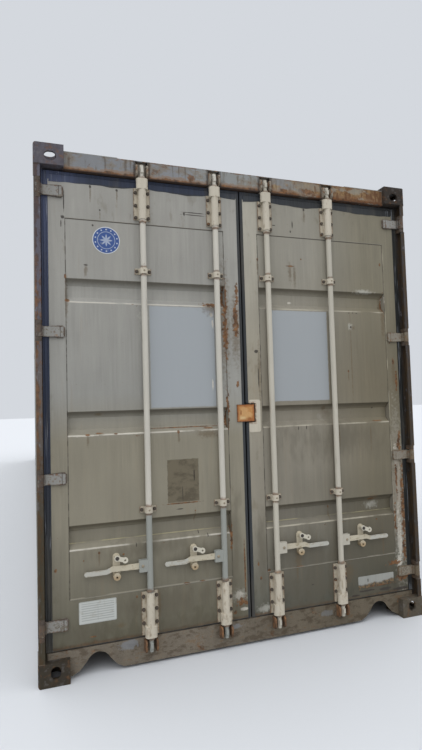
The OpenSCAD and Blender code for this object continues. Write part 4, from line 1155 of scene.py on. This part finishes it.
class CONTAINER_OT_seal_lips(bpy.types.Operator):
    """Ribs of the door seals and the slack lip over the head of each leaf"""

    bl_idname = "container.seal_lips"
    bl_label = "Seal lips"

    def execute(self, context):
        rubber = seal_rubber()
        foot, head, plate_low, plate_high = 0.16, 2.762, 1.32, 1.442
        ribs_outer, rib_middle, rib_top, face = (1.15, 1.166), 0.012, 2.75, end_y(0.0522)
        for side, sign, _ in SIDES:
            runs = [((across, foot), (across, head)) for across in ribs_outer]
            cuts = (foot, head) if side == "left" else (foot, plate_low, plate_high, head)
            runs += [((rib_middle, low), (rib_middle, high)) for low, high in zip(cuts[::2], cuts[1::2])]
            runs.append(((0.02, rib_top), (1.14, rib_top)))
            places = []
            for run in runs:
                ends = (Vector((sign * across, face, z)) for across, z in run)
                places += row(*ends, unit=1, count=1)
            ribs = repeat(seal_rib(), places, f"{side}_seal_ribs")
            hand_over(ribs, f"{side}_door", rubber)
            hand_over(seal_slack(sign, f"{side}_seal_lip"), f"{side}_door", rubber)
        return {"FINISHED"}


def seal_rib():
    """Rounded rib a metre long from the origin along x, thinner at its ends."""
    radius = 0.0028
    piece = start(
        bpy.ops.mesh.primitive_cylinder_add, "rib", vertices=10, radius=radius, depth=1,
        location=(0.5, 0, 0), rotation=(0, math.pi / 2, 0))
    with editing(piece):
        pick(piece, "FACE", lambda face: abs(face.normal.x) > 0.9)
        bpy.ops.mesh.inset(thickness=0.001)
        pick(piece, "VERT", lambda point: math.hypot(point.co.y, point.co.z) > radius - 0.0002)
        bpy.ops.transform.resize(value=(0.998, 1, 1), center_override=(0.5, 0, 0))
    return piece


def seal_slack(sign, name):
    """Strip that hangs in low waves over the head of a leaf."""
    low, high, near, far = 2.706, 2.744, 0.026, 1.138
    piece = start(
        bpy.ops.mesh.primitive_grid_add, name, (far - near, high - low, 1),
        (sign * (near + far) / 2, end_y(0.05), (low + high) / 2),
        x_subdivisions=72, y_subdivisions=3, size=1, rotation=FACING)
    with editing(piece):
        pick(piece)
        extrude((0, -0.0014, 0))
        turn_out()
    for vertex in piece.data.vertices:
        down = (high - vertex.co.z) / (high - low)
        x = vertex.co.x
        wave = 0.5 + 0.26 * math.sin(x * 14 + sign) + 0.14 * math.sin(x * 31) + 0.1 * math.sin(x * 67 + sign)
        clear = min(1, max(0, (min(abs(x - bar) for bar in BAR_X) - 0.05) / 0.12)) ** 0.5
        vertex.co.z += down * (0.01 - clear * (0.006 + 0.01 * wave))
        vertex.co.y -= math.sin(x * 14 + sign) * 0.0006 * down * clear
    return piece


class CONTAINER_OT_door_plates(bpy.types.Operator):
    """Thin plates and stickers on the leaves: doubler, patch, round disc and label"""

    bl_idname = "container.door_plates"
    bl_label = "Door plates"

    def execute(self, context):
        for piece, side, coat in (lock_doubler(), foot_patch(), round_disc(), blank_label()):
            hand_over(piece, f"{side}_door", coat)
        return {"FINISHED"}


def lock_doubler():
    """White plate with round corners behind the guard plate, cut away where that plate lies."""
    guard = (0.066, 1.322, 1.439)
    piece = plate("lock_doubler", 0.0225, 0.101, 1.26, 1.462, thick=0.0015, corner=0.016, cuts=guard)
    coat = weathered("doubler_paint", (196, 190, 176), 103, 0.3, 0.8, 0.65)
    rim = abs(coat.x - 0.0617).step(0.034, 0.04).high(abs(coat.z - 1.361).step(0.095, 0.102))
    coat.tint(rim * 0.5, (150, 138, 116))
    near = abs(coat.x - 0.02).step(0.06, 0.046) * abs(coat.z - GUARD_Z).step(0.075, 0.058)
    coat.rust(near * coat.noise(0.02, 4, seed=2).step(0.4, 0.55) * 0.8, 5)
    return piece, "right", coat


def foot_patch():
    """Light sheet over a repair at the foot of the right leaf, with a rusted lower edge."""
    left, low, lean = 0.755, 0.214, 0.06
    piece = plate("foot_patch", left, 1.029, low, 0.291, thick=0.0012, corner=0.006, steps=24)
    for vertex in piece.data.vertices:
        if vertex.co.z < low + 0.0005:
            x = vertex.co.x
            vertex.co.z += 0.007 * math.sin(x * 90) + 0.005 * math.sin(x * 211 + 1) + (x - left) * lean
    coat = weathered("patch_paint", (158, 160, 156), 105, 0.2, 0.7, 0.6)
    foot = coat.z - (coat.x - left) * lean + coat.wobble(0.03, 0.018, 3)
    brown = coat.mix(coat.noise(0.02, 5, seed=9).step(0.44, 0.54), (70, 59, 43), (116, 92, 60))
    coat.tint(foot.step(0.242, 0.226) * 0.9, brown, 0.9, 0.0004)
    coat.tint(coat.marks([(828, 262, 5, 10)], 0.5, 4) * 0.7, (60, 54, 48))
    return piece, "right", coat


def round_disc():
    """Round sticker: pale rim, blue field, ring of pale dots and a pale star with eight points."""
    radius, x, z = sizes().disc_radius, -0.826, 2.392
    piece = start(
        bpy.ops.mesh.primitive_circle_add, "round_disc", vertices=64, radius=radius, fill_type="NGON",
        rotation=FACING)
    with editing(piece):
        pick(piece)
        extrude((0, -sizes().sheet_thickness, 0))
        inset(radius * 0.012, (0, -0.0002, 0))
        turn_out()
    piece.location = (x, end_y(DOOR_T), z)
    settle(piece, "round_disc")
    coat = Coat("disc_print", (206, 212, 218), 0.45)
    across, up = (coat.x - x) / radius, (coat.z - z) / radius
    away = (across * across + up * up).sum("SQRT")
    coat.tint(away.step(0.95, 0.93), (52, 84, 148))
    turn = up.sum("ARCTAN2", across) / (2 * math.pi) + 1
    dots, ring = 14, 0.8
    share = (turn * dots).sum("FRACT") - 0.5
    dot = ((share * (2 * math.pi * ring / dots)).sum("POWER", 2) + (away - ring).sum("POWER", 2)).sum("SQRT")
    coat.tint(dot.step(0.066, 0.048) * 0.8, (196, 206, 220))
    coat.tint(away.step(0.66, 0.64) * away.step(0.6, 0.62) * 0.75, (188, 200, 216))
    point = abs((turn * 8).sum("FRACT") - 0.5)
    coat.tint((away - point * 0.62).step(0.17, 0.12) * 0.75, (182, 194, 214))
    coat.tint(coat.noise(0.016, 4, seed=5).step(0.6, 0.7) * 0.4, (150, 156, 160))
    return piece, "left", coat


def blank_label():
    """Blank aluminium label with rounded corners, faint grey rules and four small rivets."""
    x0, x1, z0, z1, inner = -1.007, -0.804, 0.273, 0.392, 0.007
    piece = plate("blank_label", x0, x1, z0, z1, thick=0.001, corner=inner)
    front = end_y(DOOR_T - 0.0009)
    corners = [Vector((x, front, z)) for x in (x0 + inner, x1 - inner) for z in (z0 + inner, z1 - inner)]
    rivets = repeat(dome(radius=0.0022, height=0.0012), corners, "label_rivets")
    piece = join([piece, rivets], "blank_label")
    coat = Coat("label_print", (196, 200, 198), 0.5)
    inside = coat.box(x0 + 0.014, x1 - 0.014, z0 + 0.012, z1 - 0.012, 0.001)
    rule = ((coat.z - z0) / 0.0125).sum("FRACT") - 0.5
    coat.tint(abs(rule).step(0.22, 0.1) * inside * 0.5, (112, 117, 120))
    coat.tint(abs(coat.x - (x0 + x1) / 2).step(0.0016, 0.0008) * inside * 0.4, (128, 132, 134))
    rim = coat.box(x0 + 0.004, x1 - 0.004, z0 + 0.004, z1 - 0.004, 0.001)
    coat.tint((1 - rim) * 0.5, (150, 152, 148))
    coat.tint(coat.noise(0.03, 5, seed=6).step(0.56, 0.72) * 0.45, (158, 154, 140), 0.75)
    return piece, "left", coat


def plate(name, x0, x1, z0, z1, thick, corner, cuts=None, steps=0):
    """Plate on a leaf with round corners, without what lies left of the first cut and between the others."""
    piece = start(
        bpy.ops.mesh.primitive_plane_add, name, (x1 - x0, z1 - z0, 1),
        ((x0 + x1) / 2, end_y(DOOR_T), (z0 + z1) / 2), size=1, rotation=FACING)
    planes = [(x0 + (x1 - x0) * step / steps, (1, 0, 0)) for step in range(1, steps)]
    if cuts:
        planes += [(cuts[0], (1, 0, 0)), (cuts[1], (0, 0, 1)), (cuts[2], (0, 0, 1))]
    with editing(piece):
        pick(piece, "VERT")
        bpy.ops.mesh.bevel(offset=corner, segments=4, affect="VERTICES")
        for place, axis in planes:
            pick(piece)
            bpy.ops.mesh.bisect(plane_co=Vector(axis) * place, plane_no=axis)
        if cuts:
            pick(piece, "FACE", lambda face: face.calc_center_median().x < cuts[0]
                 and cuts[1] < face.calc_center_median().z < cuts[2])
            bpy.ops.mesh.delete(type="FACE")
        pick(piece)
        extrude((0, -thick, 0))
        turn_out()
    return piece


class CONTAINER_OT_shell_details(bpy.types.Operator):
    """Louvres on the ventilators and screws in the floor"""

    bl_idname = "container.shell_details"
    bl_label = "Shell details"

    def execute(self, context):
        grey = weathered("louvre_paint", (150, 151, 147), 107, 0.3, 0.6)
        hand_over(louvres(), "container", grey)
        steel = weathered("screw_steel", (96, 90, 84), 109, 0.8, 0.5, 0.5)
        hand_over(screws(), "container", steel)
        return {"FINISHED"}


def louvres():
    """Sloping slats over each ventilator, inside the line of the castings."""
    low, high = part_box("ventilators")
    wide, tall, slats, thick, cover = 0.062, high[2] - low[2], 7, 0.0024, 0.62
    lean, proud = 0.05, 0.001
    slat = start(bpy.ops.mesh.primitive_cube_add, "slat", (thick, wide - 0.008, tall / slats * cover), size=1)
    with editing(slat):
        pick(slat, "EDGE", lambda edge: abs(edge.verts[0].co.z - edge.verts[1].co.z) < 1e-6)
        bpy.ops.mesh.bevel(offset=0.0006, segments=2)
    for vertex in slat.data.vertices:
        vertex.co.x += vertex.co.z * lean
    places = []
    for sign, turn in ((-1, 0), (1, math.pi)):
        for y in (low[1] + wide / 2, high[1] - wide / 2):
            for step in range(slats):
                place = (sign * (high[0] - proud), y, low[2] + tall * (step + 0.5) / slats)
                places.append(Matrix.Translation(place) @ Matrix.Rotation(turn, 4, "Z"))
    return repeat(slat, places, "ventilator_louvres")


def screws():
    """Countersunk screws where the boards cross the members."""
    first, last, count, tunnel_start, tunnel_half = -5.948, 6.031, 40, 2.75, 0.53
    screw = start(
        bpy.ops.mesh.primitive_cylinder_add, "screw", vertices=8, radius=0.006, depth=0.0012,
        location=(0, 0, 0.0004))
    with editing(screw):
        pick(screw, "FACE", lambda face: face.normal.z > 0.9)
        inset(0.0032, (0, 0, -0.0007))
    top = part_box("plywood_floor")[1][2]
    places = []
    for number in range(1, count):
        y = first + (last - first) * number / count
        for across in (0.09, 0.4, 0.74, 1.06):
            if y < tunnel_start or across > tunnel_half:
                places += [Vector((across, y, top)), Vector((-across, y, top))]
    return repeat(screw, places, "floor_screws")


class CONTAINER_OT_stage(bpy.types.Operator):
    """Floor, light and camera"""

    bl_idname = "container.stage"
    bl_label = "Stage"

    def execute(self, context):
        settings = context.scene.container_stage
        stage_floor(settings)
        stage_light(settings)
        stage_view(settings)
        context.scene.view_settings.view_transform = "Standard"
        return {"FINISHED"}


def stage_floor(settings):
    """Pale floor that reflects as the camera sees it and lights the part a little less."""
    under = -0.001
    floor = start(
        bpy.ops.mesh.primitive_plane_add, "stage_floor", size=2 * settings.floor_half, location=(0, 0, under))
    coat = Coat("stage_floor", settings.pale, 1)
    rays = coat.node("ShaderNodeLightPath", out="Is Camera Ray")
    coat.colour = coat.mix(rays.high(rays.twin("Is Glossy Ray")), (150, 150, 148), settings.pale)
    floor.data.materials.append(coat.finish())


def stage_light(settings):
    """Sky that is brighter overhead and shows as a plain pale backdrop, with a soft sun."""
    world = bpy.data.worlds.new("stage_sky")
    bpy.context.scene.world = world
    sky = Nodes(world)
    rays = sky.node("ShaderNodeLightPath", out="Is Camera Ray")
    seen = rays.high(rays.twin("Is Glossy Ray")).high(rays.twin("Is Transmission Ray"))
    up = sky.node("ShaderNodeSeparateXYZ", {0: sky.node("ShaderNodeTexCoord", out="Generated")}, 2)
    power = sky.node("ShaderNodeMapRange", {0: up, 3: settings.sky, 4: settings.sky + settings.zenith})
    lit = sky.node("ShaderNodeBackground", {"Strength": power})
    pale = sky.node("ShaderNodeBackground", {"Color": settings.pale})
    both = sky.node("ShaderNodeMixShader", {0: seen, 1: lit, 2: pale})
    sky.node("ShaderNodeOutputWorld", {0: both})
    select()
    bpy.ops.object.light_add(type="SUN", location=(-6, -12, 12))
    sun = bpy.context.object
    sun.name = "soft_sun"
    sun.data.energy = settings.sun
    sun.data.angle = math.radians(50)
    sun.rotation_euler = Vector((-0.5, -0.6, 1)).to_track_quat("Z", "Y").to_euler()


def stage_view(settings):
    """Camera of the photograph, as fitted to the corner castings."""
    select()
    bpy.ops.object.camera_add()
    camera = bpy.context.object
    camera.name = "photo_view"
    camera.data.lens = settings.focal
    camera.data.sensor_width = 36
    camera.data.dof.use_dof = False
    camera.matrix_world = Matrix((
        (0.945974, 0.009738, -0.324097, -1.2224),
        (-0.323038, -0.057813, -0.944619, -8.9788),
        (-0.027935, 0.998280, -0.051544, 1.4559),
        (0, 0, 0, 1)))
    bpy.context.scene.camera = camera


PIECES = (
    CONTAINER_OT_shell_finish,
    CONTAINER_OT_end_frame_finish,
    CONTAINER_OT_door_finish,
    CONTAINER_OT_gear_finish,
    CONTAINER_OT_bracket_bolts,
    CONTAINER_OT_rivets,
    CONTAINER_OT_welds,
    CONTAINER_OT_seal_lips,
    CONTAINER_OT_door_plates,
    CONTAINER_OT_shell_details,
    CONTAINER_OT_stage,
)


class CONTAINER_PT_sidebar(bpy.types.Panel):
    """Sidebar list of the container's sizes, colours and pieces"""

    bl_idname = "CONTAINER_PT_sidebar"
    bl_label = "Container"
    bl_space_type = "VIEW_3D"
    bl_region_type = "UI"
    bl_category = "Container"

    def draw(self, context):
        scene = context.scene
        for group in (scene.container_sizes, scene.container_colours, scene.container_stage):
            box = self.layout.box()
            for name in group.__annotations__:
                box.prop(group, name)
        for piece in PIECES:
            self.layout.operator(piece.bl_idname)


GROUPS = {
    "container_colours": ContainerColours,
    "container_sizes": ContainerSizes,
    "container_stage": ContainerStage,
}


def register():
    for group in (*GROUPS.values(), *PIECES, CONTAINER_PT_sidebar):
        bpy.utils.register_class(group)
    for name, group in GROUPS.items():
        setattr(bpy.types.Scene, name, bpy.props.PointerProperty(type=group))


def unregister():
    for name in GROUPS:
        delattr(bpy.types.Scene, name)
    for group in reversed((*GROUPS.values(), *PIECES, CONTAINER_PT_sidebar)):
        bpy.utils.unregister_class(group)


def main():
    """Makes every piece in turn."""
    register()
    for piece in PIECES:
        group, name = piece.bl_idname.split(".")
        getattr(getattr(bpy.ops, group), name)()


if __name__ == "__main__":
    main()
